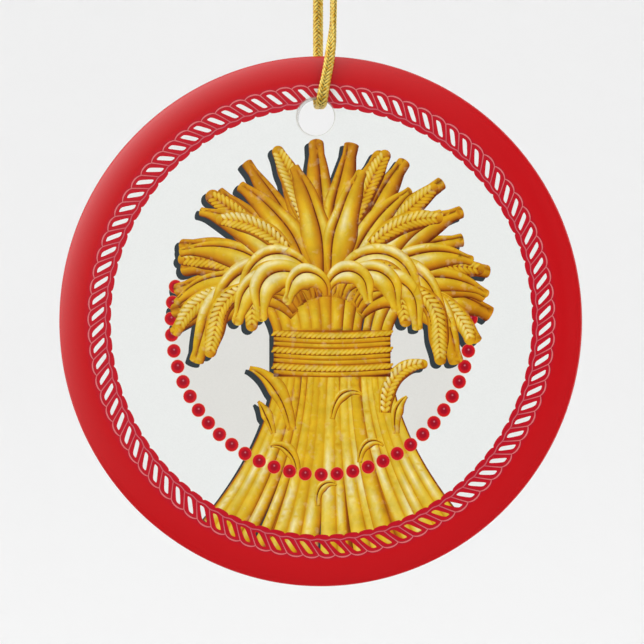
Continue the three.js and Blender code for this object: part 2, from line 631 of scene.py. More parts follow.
    def stalks(self) -> list[Ribbon]:
        """Lay out the stalks below the band.

        Returns:
            A dark layer of ribbons and a bright one over it, each ribbon cut off where
            it reaches the foot's radius.
        """
        made = []
        whole = np.linspace(0.0, 1.0, 60)
        for behind, count in ((True, 17), (False, 18)):
            for place in np.linspace(-1.0, 1.0, count):
                wobble = self.chance.normal(0.0, 1.0, 3)
                share = np.clip(place + 0.018 * wobble[0], -1.0, 1.0)
                radii = np.linalg.norm(self.stalk_line(share, wobble[1], whole), axis=1)
                fall = np.linspace(0.0, np.interp(self.foot_radius, radii, whole), 26)
                width = (0.46 + 0.62 * fall) * (1.0 + 0.22 * wobble[2])
                light = 0.24 if behind else 0.68 + 0.08 * share
                made.append(Ribbon(self.stalk_line(share, wobble[1], fall), width,
                                   light + 0.05 * wobble[0], relief=0.32, gloss=0.3,
                                   gloss_at=0.75 + 0.1 * wobble[1]))
        return made

    def curls(self) -> list[InkShape]:
        """A few leaves that peel away from the stalks, and one short ear on the right.

        Returns:
            Their shapes. A leaf is given by its root, heading, turn, length and half width.
        """
        leaves = (
            ((-4.0, -15.0), -12.0, -62.0, 11.0, 1.25),
            ((-6.6, -15.5), -16.0, -26.0, 5.0, 0.8),
            ((-3.2, -21.0), -6.0, -110.0, 6.4, 0.8),
            ((1.6, -13.5), 8.0, 120.0, 6.6, 0.75),
            ((5.4, -19.5), 6.0, 140.0, 5.4, 0.7),
            ((10.6, -15.5), -6.0, 60.0, 5.6, 0.85),
            ((-0.4, -25.5), -4.0, 130.0, 5.0, 0.7),
        )
        made = []
        for start, heading, turn, length, width in leaves:
            path = arching(start, heading, turn, length, settle=1.7)
            made += Ribbon(path, leaf_width(22, width, root=0.5, blunt=0.25), 0.6,
                           creases=(0.25,), gloss=0.15).shapes()
        path = arching((9.0, -12.6), 2.0, 92.0, 9.6, samples=40, settle=1.5)
        return made + Ear(path, 1.15, 0.6).shapes()

    def band(self) -> list[InkShape]:
        """Three thin twisted cords round the waist, with plain ones between and under them.

        Returns:
            A dark ground, then each cord as a ribbon that sags by the band's sag times
            one less the square of the place across, with slanting grains on twisted ones.
        """
        middle = self.neck[0] + self.band_shift
        ends = np.linspace(self.waist_top - 0.15, self.waist_low - 0.25, 8)
        under = np.stack([np.full(8, middle), ends], axis=1)
        made = [Ribbon(under, np.full(8, 0.985 * self.waist_half), 0.2, relief=0.1,
                       gloss=0.0).shape()]
        x = np.linspace(-1.0, 1.0, 36)
        level = self.waist_top
        for lay in self.BAND:
            twisted = lay is Lay.TWISTED
            tall = 1.0 if twisted else 0.66
            half = self.waist_half * (1.0 if twisted else 0.985)
            sag = self.band_sag * (1.0 - x**2)
            line = np.stack([middle + half * x, level - tall / 2.0 - sag], axis=1)
            width = 0.53 * tall * np.sqrt(np.clip(1.0 - x**16, 0.4, 1.0))
            made.append(Ribbon(line, width, 0.36 if twisted else 0.5, relief=0.3,
                               gloss=0.18, gloss_at=0.42).shape())
            for share in np.linspace(-0.96, 0.96, 24 if twisted else 0):
                sag = self.band_sag * (1.0 - share**2)
                root = np.array([middle + half * share - 0.55, level - tall / 2.0 - sag - 0.36])
                made.append(Grain(root, np.array([1.25, 0.8]), 1.35, 0.5,
                                  0.56 - 0.1 * share**2).shape())
            level -= tall * 0.98
        return made

    def core(self) -> InkShape:
        """The shaded heart of the sheaf, seen between the leaves: a wide dark oval."""
        turn = np.linspace(0.0, FULL_TURN, 40, endpoint=False)
        wide, tall = self.heart
        oval = np.stack([self.neck[0] + wide * np.cos(turn),
                         self.neck[1] + self.heart_up + tall * np.sin(turn)], axis=1)

        def shade(points: Array) -> Array:
            """Deep brown gold all over."""
            return GOLD.colours(np.full(len(points), self.heart_light))

        return InkShape(oval, shade, gilt=True)

    def neck_stalks(self) -> list[InkShape]:
        """The stalks between the band and the leaves: short, and spreading upwards."""
        made = []
        for place in sorted(np.linspace(-1.0, 1.0, 12), key=lambda p: -abs(p)):
            wobble = self.chance.normal(0.0, 1.0, 2)
            start = (self.neck[0] + self.band_shift + place * (self.waist_half - 0.9),
                     self.waist_top - 0.9)
            path = arching(start, 8.0 * place, 62.0 * place, 8.0 + 2.5 * abs(place), samples=16)
            width = np.linspace(0.72, 1.05, 16) * (1.0 + 0.12 * wobble[0])
            made.append(Ribbon(path, width, 0.55 + 0.03 * wobble[1], gloss=0.2,
                               gloss_at=0.3).shape())
        return made

    def layers(self) -> tuple[list[InkShape], list[InkShape]]:
        """Build the sheaf's lower and upper parts, each back to front."""
        lower = [ribbon.shape() for ribbon in self.stalks()] + self.curls()
        upper = [self.core()]
        for row in self.ROWS:
            upper += self.grow(row)
        upper += self.neck_stalks()
        for row in self.FRONT:
            upper += self.grow(row)
        return lower, upper + self.band()

    def shadow(self, shapes: list[InkShape]) -> list[InkShape]:
        """The slate shadow: every taller outline again, moved down and to the left."""
        colour = linear(*self.shadow_ink)

        def shade(points: Array) -> Array:
            """One slate colour."""
            return np.tile(colour, (len(points), 1))

        tall = [s for s in shapes if np.ptp(s.outline, axis=0)[1] > self.shadow_least]
        return [InkShape(s.outline + np.array(self.shadow_shift), shade) for s in tall]


@dataclass(frozen=True)
class BeadRing:
    """A ring of small round beads: the part of it that the sheaf's head leaves in view."""

    centre: tuple[float, float] = (0.06, -0.2)
    radius: float = 20.95
    count: int = 59
    left: int = 17
    right: int = 15
    bead: float = 0.9
    halo: float = 0.97
    spot: tuple[float, float] = (0.03, 0.17)
    spot_size: float = 0.19
    edge_ink: tuple[int, int, int] = (205, 22, 34)
    deep_ink: tuple[int, int, int] = (160, 12, 34)
    spot_ink: tuple[int, int, int] = (236, 168, 186)
    halo_colour: tuple[int, int, int] = (222, 122, 84)

    def circle(self, middle: Array, radius: float, corners: int) -> Array:
        """A circle of equal steps round a middle."""
        turn = np.linspace(0.0, FULL_TURN, corners, endpoint=False)
        return middle + radius * np.stack([np.cos(turn), np.sin(turn)], axis=1)

    def shapes(self) -> list[InkShape]:
        """A thin halo and a red bead for each place, counted from the ring's lowest point."""
        made = []
        for step in range(-self.left, self.right + 1):
            angle = np.radians(-90.0 + 360.0 * step / self.count)
            middle = np.array(self.centre) + self.radius * np.array([np.cos(angle), np.sin(angle)])
            guides = np.concatenate([self.circle(middle, 0.74 * self.bead, 12),
                                     self.circle(middle, 0.46 * self.bead, 10),
                                     self.circle(middle + self.spot, self.spot_size, 6),
                                     middle[None, :] + self.spot])
            made.append(InkShape(self.circle(middle, self.halo, 18), self.halo_ink))
            made.append(InkShape(self.circle(middle, self.bead, 20), self.bead_ink(middle),
                                 guides))
        return made

    def halo_ink(self, points: Array) -> Array:
        """A thin warm orange."""
        return np.tile(linear(*self.halo_colour), (len(points), 1))

    def bead_ink(self, middle: Array) -> Ink:
        """Make one bead's colouring: red, deeper in the middle, with a small spot of light."""

        def shade(points: Array) -> Array:
            """Mix red, its depth and the spot by the distances from the middle and the spot."""
            gap = np.linalg.norm(points - middle, axis=1)[:, None] / self.bead
            spot = np.linalg.norm(points - middle - np.array(self.spot), axis=1)[:, None]
            deep = 1.0 - smooth(gap, 0.4, 0.76)
            red = linear(*self.edge_ink) * (1.0 - deep) + linear(*self.deep_ink) * deep
            glow = 0.5 * (1.0 - smooth(spot, 0.03, self.spot_size))
            return red * (1.0 - glow) + linear(*self.spot_ink) * glow

        return shade


@dataclass
class RopeRing:
    """The twisted rope round the field, with open windows between its strands."""

    centre: tuple[float, float] = (0.1, 0.0)
    twists: int = 90
    phase: float = 1.9
    inner: float = 29.68
    wave: float = 30.14
    window_low: float = 30.45
    window_high: float = 32.1
    outer: float = 32.62
    window_half: float = 0.71
    lean: float = 2.7
    scallop: float = 0.28
    arch_fall: float = 0.38
    line_outer: tuple[int, int, int] = (222, 116, 118)
    line_inner: tuple[int, int, int] = (206, 92, 102)
    line_under: tuple[int, int, int] = (160, 18, 40)

    def polar(self, radius: Array, degrees: Array) -> Array:
        """Turn a radius and clockwise degrees from the top into a place."""
        angle = np.radians(degrees + self.phase)
        return np.array(self.centre) + np.stack(
            [radius * np.sin(angle), radius * np.cos(angle)], axis=-1)

    def pitch(self) -> float:
        """Degrees between twists."""
        return 360.0 / self.twists

    def scalloped_edge(self) -> Array:
        """The inner edge: small arcs that bulge inwards, one a twist."""
        share = np.linspace(0.0, self.twists, self.twists * 8, endpoint=False)
        bulge = np.sqrt(np.clip(1.0 - (2.0 * (share % 1.0) - 1.0) ** 2, 0.0, 1.0))
        return self.polar(self.inner - self.scallop * bulge, share * self.pitch())

    def window(self, step: int) -> Array:
        """One open window: a leaning slot with straight ends and rounded corners."""
        turn = np.linspace(0.0, FULL_TURN, 20, endpoint=False) + 0.1
        along = np.sign(np.cos(turn)) * np.abs(np.cos(turn)) ** 0.45
        across = np.sign(np.sin(turn)) * np.abs(np.sin(turn)) ** 0.45
        middle = (self.window_low + self.window_high) / 2.0
        half = (self.window_high - self.window_low) / 2.0
        degrees = (step + 0.5) * self.pitch() - 0.5 * self.lean * along + (
            self.window_half * across)
        return self.polar(middle + half * along, degrees)

    def windows(self) -> list[Array]:
        """All the windows."""
        return [self.window(step) for step in range(self.twists)]

    def line(self, radius: Array, degrees: Array, half: Array) -> Array:
        """A thin closed line: the route's places, moved half a width either way and back."""
        route = self.polar(radius, degrees)
        along = np.gradient(route, axis=0)
        along /= np.linalg.norm(along, axis=1, keepdims=True)
        left = np.stack([-along[:, 1], along[:, 0]], axis=1) * np.asarray(half)[:, None]
        return np.concatenate([route + left, (route - left)[::-1]])

    def routes(self) -> list[tuple[Array, Array, Array]]:
        """Radii, degrees and half widths of the thin lines: an arch over each strand,
        run on down its side, and a wave near the inner edge."""
        share = np.linspace(0.0, 1.0, 9)
        shoulder = self.outer - self.arch_fall
        made = []
        for step in range(self.twists):
            start = (step + 0.5) * self.pitch() - 0.5 * self.lean
            arch = start + 0.52 * self.pitch() * (2.0 * share - 1.0)
            height = self.outer - self.arch_fall * np.abs(2.0 * share - 1.0) ** 2.4
            made.append((height, arch, 0.055 + 0.05 * np.sin(math.pi * share)))
            fall = start + 0.52 * self.pitch() + self.lean * share
            level = shoulder - (shoulder - self.wave) * share
            made.append((level, fall, np.full(9, 0.075)))
        wave = np.linspace(0.0, self.twists, self.twists * 6 + 1)
        level = self.wave + 0.09 * np.sin(FULL_TURN * wave)
        for part in np.array_split(np.arange(self.twists * 6), 30):
            part = np.append(part, part[-1] + 1)
            made.append((level[part], wave[part] * self.pitch(), np.full(len(part), 0.085)))
        return made

    def highlights(self) -> list[InkShape]:
        """The thin light lines, each over a wider dark one."""
        bright, dull = linear(*self.line_outer), linear(*self.line_inner)
        dark = linear(*self.line_under)

        def shade(points: Array) -> Array:
            """Deep red."""
            return np.tile(dark, (len(points), 1))

        def tint(points: Array) -> Array:
            """Lighter at the outer edge, duller inwards."""
            gap = np.linalg.norm(points - np.array(self.centre), axis=1)
            mix = smooth(gap, self.window_low, self.outer)[:, None]
            return dull * (1.0 - mix) + bright * mix

        routes = self.routes()
        under = [InkShape(self.line(r, d, half + 0.06), shade) for r, d, half in routes]
        return under + [InkShape(self.line(*route), tint) for route in routes]


@dataclass
class RedOverlay(InkShape):
    """The red border and rope: all the face outside the scalloped edge, less the windows."""

    openings: list[Array] = field(default_factory=list)

    def covers(self, points: Array) -> Array:
        """Outside the scalloped edge and in none of the windows."""
        middle = self.outline.mean(axis=0)
        radius = np.linalg.norm(points - middle, axis=1)
        edge = np.linalg.norm(self.outline - middle, axis=1)
        found = radius > edge.max()
        near = np.flatnonzero(~found & (radius > edge.min() - 0.05))
        found[near] = ~inside(points[near], self.outline)
        for opening in self.openings:
            close = np.abs(points - opening.mean(axis=0)).max(axis=1) < 1.6
            near = np.flatnonzero(found & close)
            found[near[inside(points[near], opening)]] = False
        return found

    def loops(self) -> list[Array]:
        """The scalloped edge and every window."""
        return [self.outline, *self.openings]


@dataclass
class FlatFace:
    """The flat decorated face, cut along every printed outline."""

    sizes: DiscSizes
    rim_corners: int = 360
    hole_corners: int = 120
    grid: float = 0.9
    points: Array = field(default_factory=lambda: np.empty((0, 2)))
    triangles: Array = field(default_factory=lambda: np.empty((0, 3), int))
    colours: Array = field(default_factory=lambda: np.empty((0, 3, 3)))
    gilt: Array = field(default_factory=lambda: np.empty(0, bool))
    source_to_point: dict[int, int] = field(default_factory=dict)

    def rim(self) -> Array:
        """Corners of the circle where the face starts to roll off."""
        turn = np.linspace(0.0, FULL_TURN, self.rim_corners, endpoint=False)
        return self.sizes.flat_radius * np.stack([np.cos(turn), np.sin(turn)], axis=1)

    def hole(self) -> Array:
        """Corners of the hole's outer lip: a true circle once the layout is squeezed."""
        turn = np.linspace(0.0, FULL_TURN, self.hole_corners, endpoint=False)
        radius = self.sizes.hole_radius + self.sizes.hole_lip
        loop = (self.sizes.hole_centre(-self.sizes.thickness / 2.0)
                + radius * np.stack([np.cos(turn), np.sin(turn)], axis=1))
        return loop / [self.sizes.squeeze, 1.0]

    def filler(self) -> Array:
        """A loose grid that keeps the triangles between outlines small."""
        steps = np.arange(-self.sizes.flat_radius, self.sizes.flat_radius, self.grid)
        x, y = np.meshgrid(steps, steps)
        x = x + 0.5 * self.grid * (np.arange(len(steps))[:, None] % 2)
        dots = np.stack([x.ravel(), y.ravel()], axis=1)
        return dots[np.linalg.norm(dots, axis=1) < self.sizes.flat_radius - 0.3]

    def hidden(self, dots: Array, order: Array, shapes: list[InkShape]) -> Array:
        """Tell which points lie under a shape that was printed after their own.

        Args:
            dots: The points.
            order: The place of each point's own shape, back to front.
            shapes: Every printed shape, back to front.

        Returns:
            True for each point that a later shape covers.
        """
        found = np.zeros(len(dots), bool)
        for later in range(len(shapes) - 1, 0, -1):
            open_dots = np.flatnonzero(~found & (order < later))
            found[open_dots[shapes[later].covers(dots[open_dots])]] = True
        return found

    def visible_edges(self, shapes: list[InkShape]) -> tuple[Array, Array]:
        """Gather the printed outlines that show.

        Args:
            shapes: Every printed shape, back to front.

        Returns:
            The outlines' points, and pairs of them for each edge that isn't hidden at
            both ends and in the middle.
        """
        loops = [(order, loop) for order, shape in enumerate(shapes) for loop in shape.loops()]
        dots = np.concatenate([loop for _, loop in loops])
        order = np.concatenate([np.full(len(loop), place) for place, loop in loops])
        starts = np.cumsum([0] + [len(loop) for _, loop in loops])
        after = np.arange(1, len(dots) + 1)
        after[starts[1:] - 1] = starts[:-1]
        middles = (dots + dots[after]) / 2.0
        under = self.hidden(np.concatenate([dots, middles]), np.tile(order, 2), shapes)
        under, under_middle = under[: len(dots)], under[len(dots):]
        shown = ~(under & under[after] & under_middle)
        edges = np.stack([np.flatnonzero(shown), after[shown]], axis=1)
        used, index = np.unique(edges, return_inverse=True)
        return dots[used], index.reshape(edges.shape)

    def cut(self, shapes: list[InkShape]) -> None:
        """Cut the face into triangles along all the outlines that show.

        Args:
            shapes: Every printed shape, back to front.
        """
        corners, edges, start = [], [], 0
        for loop in (self.rim(), self.hole()):
            order = np.arange(len(loop))
            corners.append(loop)
            edges.append(start + np.stack([order, (order + 1) % len(loop)], axis=1))
            start += len(loop)
        dots, pairs = self.visible_edges(shapes)
        limit = self.sizes.flat_radius - 0.02
        guides = np.concatenate([s.guides for s in shapes])
        order = np.concatenate([np.full(len(s.guides), k) for k, s in enumerate(shapes)])
        guides = guides[~self.hidden(guides, order, shapes)]
        loose = np.concatenate([guides, self.filler()])
        loose = loose[np.linalg.norm(loose, axis=1) < limit]
        everything = np.concatenate([*corners, dots, loose])
        result = delaunay_2d_cdt([Vector(p) for p in everything],
                                 np.concatenate([*edges, start + pairs]).tolist(), [], 0, 1e-4)
        self.points = np.array([tuple(p) for p in result[0]])
        triangles = np.array([f for f in result[2] if len(f) == 3])
        centres = self.points[triangles].mean(axis=1)
        keep = inside(centres, self.rim()) & ~inside(centres, self.hole())
        triangles = triangles[keep]
        a, b, c = (self.points[triangles[:, k]] for k in range(3))
        area = (b[:, 0] - a[:, 0]) * (c[:, 1] - a[:, 1]) - (b[:, 1] - a[:, 1]) * (c[:, 0] - a[:, 0])
        triangles[area < 0] = triangles[area < 0][:, ::-1]
        self.triangles = triangles
        self.source_to_point = {s: i for i, group in enumerate(result[3]) for s in group}

    def paint(self, shapes: list[InkShape], paper: Ink) -> None:
        """Colour each triangle's corners by the topmost shape that covers its middle."""
        centres = self.points[self.triangles].mean(axis=1)
        owner = np.full(len(centres), -1)
        for order, shape in enumerate(shapes):
            owner[shape.covers(centres)] = order
        corners = self.points[self.triangles]
        self.colours = paper(corners.reshape(-1, 2)).reshape(-1, 3, 3)
        self.gilt = np.zeros(len(centres), bool)
        for order in np.unique(owner[owner >= 0]):
            mine = owner == order
            inked = shapes[order].ink(corners[mine].reshape(-1, 2))
            self.colours[mine] = inked.reshape(-1, 3, 3)
            self.gilt[mine] = shapes[order].gilt

    def ink_at(self, dots: Array, shapes: list[InkShape], paper: Ink) -> Array:
        """Colours of the topmost shapes at some places, also over the hole."""
        colours = paper(dots)
        for shape in shapes:
            mine = np.flatnonzero(shape.covers(dots))
            if len(mine):
                colours[mine] = shape.ink(dots[mine])
        return colours

    def loop_points(self, first: int, count: int) -> Array:
        """Indices of the face's points that stand for one input loop."""
        return np.array([self.source_to_point[first + k] for k in range(count)])


class InkSheet:
    """Everything printed on the face, in the order it was laid down."""

    FIELD = (239, 241, 239)
    FIELD_INSIDE = (228, 227, 222)
    RED = (199, 18, 25)
    ROPE_RED = (194, 18, 36)
    INSIDE_EDGE = (-0.4, 0.5)
    INSIDE_TOP = (6.0, 9.0)
    ROPE_EDGE = (32.6, 33.1)

    def __init__(self, sizes: DiscSizes) -> None:
        """Lay out the sheaf, the two rings and the red border."""
        self.sizes = sizes
        self.beads = BeadRing()
        self.rope = RopeRing()
        sheaf = WheatSheaf()
        lower, upper = sheaf.layers()
        self.shapes = sheaf.shadow(lower + upper) + lower + self.beads.shapes() + upper
        self.shapes.append(RedOverlay(self.rope.scalloped_edge(), self.red,
                                      openings=self.rope.windows()))
        self.shapes += self.rope.highlights()

    def paper(self, points: Array) -> Array:
        """The pale ground: a little warmer and darker inside the ring of beads, as far up
        as the beads go."""
        gap = np.linalg.norm(points - np.array(self.beads.centre), axis=1) - self.beads.radius
        within = 1.0 - smooth(gap, *self.INSIDE_EDGE)
        within = (within * (1.0 - smooth(points[:, 1], *self.INSIDE_TOP)))[:, None]
        return linear(*self.FIELD) * (1.0 - within) + linear(*self.FIELD_INSIDE) * within

    def red(self, points: Array) -> Array:
        """The border's red, a little cooler in the rope."""
        rope = (1.0 - smooth(np.linalg.norm(points, axis=1), *self.ROPE_EDGE))[:, None]
        return linear(*self.RED) * (1.0 - rope) + linear(*self.ROPE_RED) * rope


# --------------------------------------------------------------------------------------
# The disc
# --------------------------------------------------------------------------------------


@dataclass(frozen=True)
class GlazeFinish:
    """Glossy clear glaze over white ceramic and printed ink."""

    name: str = "printed_glaze"
    ceramic: tuple[int, int, int] = (240, 240, 237)
    # painted shade: the bore's wall is greyer than the white ceramic, standing for the shade inside
    # the hole
    bore: tuple[int, int, int] = (196, 192, 183)
    roughness: float = 0.11
    grain: float = 0.035
    grain_scale: float = 5200.0
    mottle: float = 0.11
    mottle_scale: float = 620.0
    mottle_from: tuple[float, float] = (0.3, 0.7)
    fleck: tuple[int, int, int] = (238, 220, 178)
    fleck_scale: float = 900.0
    fleck_from: tuple[float, float] = (0.58, 0.8)
    fleck_strength: float = 0.3
    ior: float = 1.6
    ripple: float = 0.012
    ripple_scale: float = 210.0


@dataclass(frozen=True)
class BraidFinish:
    """Metallised gold thread: bright crowns and dark brown grooves, the grooves' brown being painted
    shade, and a few dull flecks from a noise that varies the tone and in part paints glints.
    """

    name: str = "gold_braid"
    light: tuple[int, int, int] = (255, 229, 120)
    dark: tuple[int, int, int] = (230, 172, 34)
    # painted shade: the dark brown put in the grooves between threads and on the core
    groove_shade: tuple[int, int, int] = (60, 40, 5)
    roughness: float = 0.3
    metallic: float = 0.4
    fleck_scale: float = 2600.0
    fleck_from: tuple[float, float] = (0.38, 0.58)
    crown_from: tuple[float, float] = (0.22, 0.8)


class Shader:
    """Builds a node material step by step."""

    def __init__(self, name: str) -> None:
        """Start a material with a Principled surface."""
        self.material = bpy.data.materials.new(name)
        self.material.use_nodes = True
        self.nodes = self.material.node_tree.nodes
        self.nodes.clear()
        self.surface = self.add("ShaderNodeBsdfPrincipled")
        output = self.add("ShaderNodeOutputMaterial")
        self.join(self.surface, "BSDF", output, "Surface")

    def add(self, kind: str, **settings: object) -> bpy.types.Node:
        """Add a node; settings are its properties."""
        node = self.nodes.new(kind)
        for name, value in settings.items():
            setattr(node, name, value)
        return node

    def join(self, source: bpy.types.Node, output: str | int, target: bpy.types.Node,
             entry: str | int) -> None:
        """Link an output to an input."""
        self.material.node_tree.links.new(source.outputs[output], target.inputs[entry])

    def set(self, node: bpy.types.Node, **values: object) -> None:
        """Set inputs by name, with spaces as underscores."""
        for name, value in values.items():
            node.inputs[name.replace("_", " ")].default_value = value

    def noise(self, scale: float, detail: float = 2.0) -> bpy.types.Node:
        """Noise that reads the object's own coordinates."""
        place = self.add("ShaderNodeTexCoord")
        noise = self.add("ShaderNodeTexNoise")
        self.set(noise, Scale=scale, Detail=detail)
        self.join(place, "Object", noise, "Vector")
        return noise


def rgba(colour: Array) -> tuple[float, float, float, float]:
    """A linear colour with full alpha."""
    return (*(float(c) for c in colour), 1.0)


def glaze_material(finish: GlazeFinish) -> bpy.types.Material:
    """Make the glaze.

    Args:
        finish: Its constants.

    Returns:
        A material whose base colour is the ink attribute, varied by a fine grain as
        ink times (1 - grain + 2 grain noise). Where the ink's alpha is 0, which marks
        gilding, a second noise mottles it and a third adds pale flecks that print
        small glints on the pictured gold. Over it lies a glossy surface with a slow ripple.
    """
    shader = Shader(finish.name)
    ink = shader.add("ShaderNodeAttribute", attribute_name="ink")
    gilding = shader.add("ShaderNodeMath", operation="SUBTRACT")
    gilding.inputs[0].default_value = 1.0
    shader.join(ink, "Alpha", gilding, 1)
    grain = shader.noise(finish.grain_scale, 1.0)
    spread = shader.add("ShaderNodeMapRange")
    shader.set(spread, To_Min=1.0 - finish.grain, To_Max=1.0 + finish.grain)
    shader.join(grain, "Fac", spread, "Value")
    mottle = shader.noise(finish.mottle_scale, 2.0)
    cloud = shader.add("ShaderNodeMapRange")
    shader.set(cloud, From_Min=finish.mottle_from[0], From_Max=finish.mottle_from[1],
               To_Min=1.0 - finish.mottle, To_Max=1.0 + finish.mottle)
    shader.join(mottle, "Fac", cloud, "Value")
    varied = shader.add("ShaderNodeMix", data_type="FLOAT")
    varied.inputs[2].default_value = 1.0
    shader.join(gilding, "Value", varied, 0)
    shader.join(cloud, "Result", varied, 3)
    both = shader.add("ShaderNodeMath", operation="MULTIPLY")
    shader.join(spread, "Result", both, 0)
    shader.join(varied, 0, both, 1)
    scaled = shader.add("ShaderNodeVectorMath", operation="SCALE")
    shader.join(ink, "Color", scaled, 0)
    shader.join(both, "Value", scaled, "Scale")
    # pale flecks on the gilding: the print's small glints on the pictured gold
    fleck = shader.noise(finish.fleck_scale, 2.0)
    printed_glints = shader.add("ShaderNodeMapRange")
    shader.set(printed_glints, From_Min=finish.fleck_from[0], From_Max=finish.fleck_from[1],
               To_Max=finish.fleck_strength)
    shader.join(fleck, "Fac", printed_glints, "Value")
    share = shader.add("ShaderNodeMath", operation="MULTIPLY")
    shader.join(printed_glints, "Result", share, 0)
    shader.join(gilding, "Value", share, 1)
    mix = shader.add("ShaderNodeMix", data_type="RGBA")
    mix.inputs[7].default_value = rgba(linear(*finish.fleck))
    shader.join(share, "Value", mix, 0)
    shader.join(scaled, "Vector", mix, 6)
    shader.join(mix, 2, shader.surface, "Base Color")
    ripple = shader.noise(finish.ripple_scale, 1.0)
    bump = shader.add("ShaderNodeBump")
    shader.set(bump, Strength=finish.ripple, Distance=0.001)
    shader.join(ripple, "Fac", bump, "Height")
    shader.join(bump, "Normal", shader.surface, "Normal")
    shader.set(shader.surface, Roughness=finish.roughness, IOR=finish.ior)
    return shader.material


def braid_material(finish: BraidFinish) -> bpy.types.Material:
    """Make the gold thread.

    Args:
        finish: Its constants.

    Returns:
        A part metallic material: the lighter and darker gold mixed by a fine noise, which
        varies the tone and in part paints glints, and the painted shade colour of the
        grooves where the braid's shade attribute is low.
    """
    shader = Shader(finish.name)
    # lighter and darker gold mixed by noise: random tone, and in part painted glints
    noise = shader.noise(finish.fleck_scale, 2.0)
    gold = shader.add("ShaderNodeMix", data_type="RGBA")
    gold.inputs[6].default_value = rgba(linear(*finish.dark))
    gold.inputs[7].default_value = rgba(linear(*finish.light))
    contrast = shader.add("ShaderNodeMapRange")
    shader.set(contrast, From_Min=finish.fleck_from[0], From_Max=finish.fleck_from[1])
    shader.join(noise, "Fac", contrast, "Value")
    shader.join(contrast, "Result", gold, 0)
    # painted shade: dark brown where the shade attribute is low, in grooves and under crossings
    shade = shader.add("ShaderNodeAttribute", attribute_name="shade")
    crown = shader.add("ShaderNodeMapRange")
    shader.set(crown, From_Min=finish.crown_from[0], From_Max=finish.crown_from[1])
    shader.join(shade, "Fac", crown, "Value")
    deep = shader.add("ShaderNodeMix", data_type="RGBA")
    deep.inputs[6].default_value = rgba(linear(*finish.groove_shade))
    shader.join(crown, "Result", deep, 0)
    shader.join(gold, 2, deep, 7)
    shader.join(deep, 2, shader.surface, "Base Color")
    shader.set(shader.surface, Roughness=finish.roughness, Metallic=finish.metallic)
    return shader.material


@dataclass
class MeshParts:
    """Vertices and faces gathered for one mesh, with a value for each corner or vertex."""

    vertices: list[Array] = field(default_factory=list)
    normals: list[Array] = field(default_factory=list)
    triangles: list[Array] = field(default_factory=list)
    colours: list[Array] = field(default_factory=list)
    uvs: list[Array] = field(default_factory=list)
    count: int = 0

    def add_vertices(self, places: Array, normals: Array) -> Array:
        """Add vertices and give their indices."""
        self.vertices.append(places)
        self.normals.append(normals)
        first = self.count
        self.count += len(places)
        return np.arange(first, self.count)

    def add_triangles(self, triangles: Array, colours: Array, uvs: Array,
                      gilt: Array | None = None) -> None:
        """Add triangles with a colour and a layout place for each corner.

        Args:
            triangles: Three vertex indices each.
            colours: Linear colours, three for each triangle.
            uvs: Layout places, three for each triangle.
            gilt: Which triangles are gilding: their colours get an alpha of 0.
        """
        plain = np.ones(len(triangles)) if gilt is None else 1.0 - gilt
        self.triangles.append(triangles)
        self.colours.append(np.hstack([colours.reshape(-1, 3), np.repeat(plain, 3)[:, None]]))
        self.uvs.append(uvs.reshape(-1, 2))

    def build(self, name: str, material: bpy.types.Material) -> bpy.types.Object:
        """Make the object: smooth, with its own normals, ink colours and bake layout."""
        triangles = np.concatenate(self.triangles)
        mesh = bpy.data.meshes.new(name)
        mesh.from_pydata(np.concatenate(self.vertices).tolist(), [], triangles.tolist())
        mesh.shade_smooth()
        colours = np.concatenate(self.colours)
        ink = mesh.color_attributes.new("ink", "FLOAT_COLOR", "CORNER")
        ink.data.foreach_set("color", colours.ravel())
        layout = mesh.uv_layers.new(name="OFBake")
        layout.uv.foreach_set("vector", np.concatenate(self.uvs).ravel())
        mesh.normals_split_custom_set_from_vertices(np.concatenate(self.normals).tolist())
        mesh.materials.append(material)
        obj = bpy.data.objects.new(name, mesh)
        bpy.context.scene.collection.objects.link(obj)
        return obj


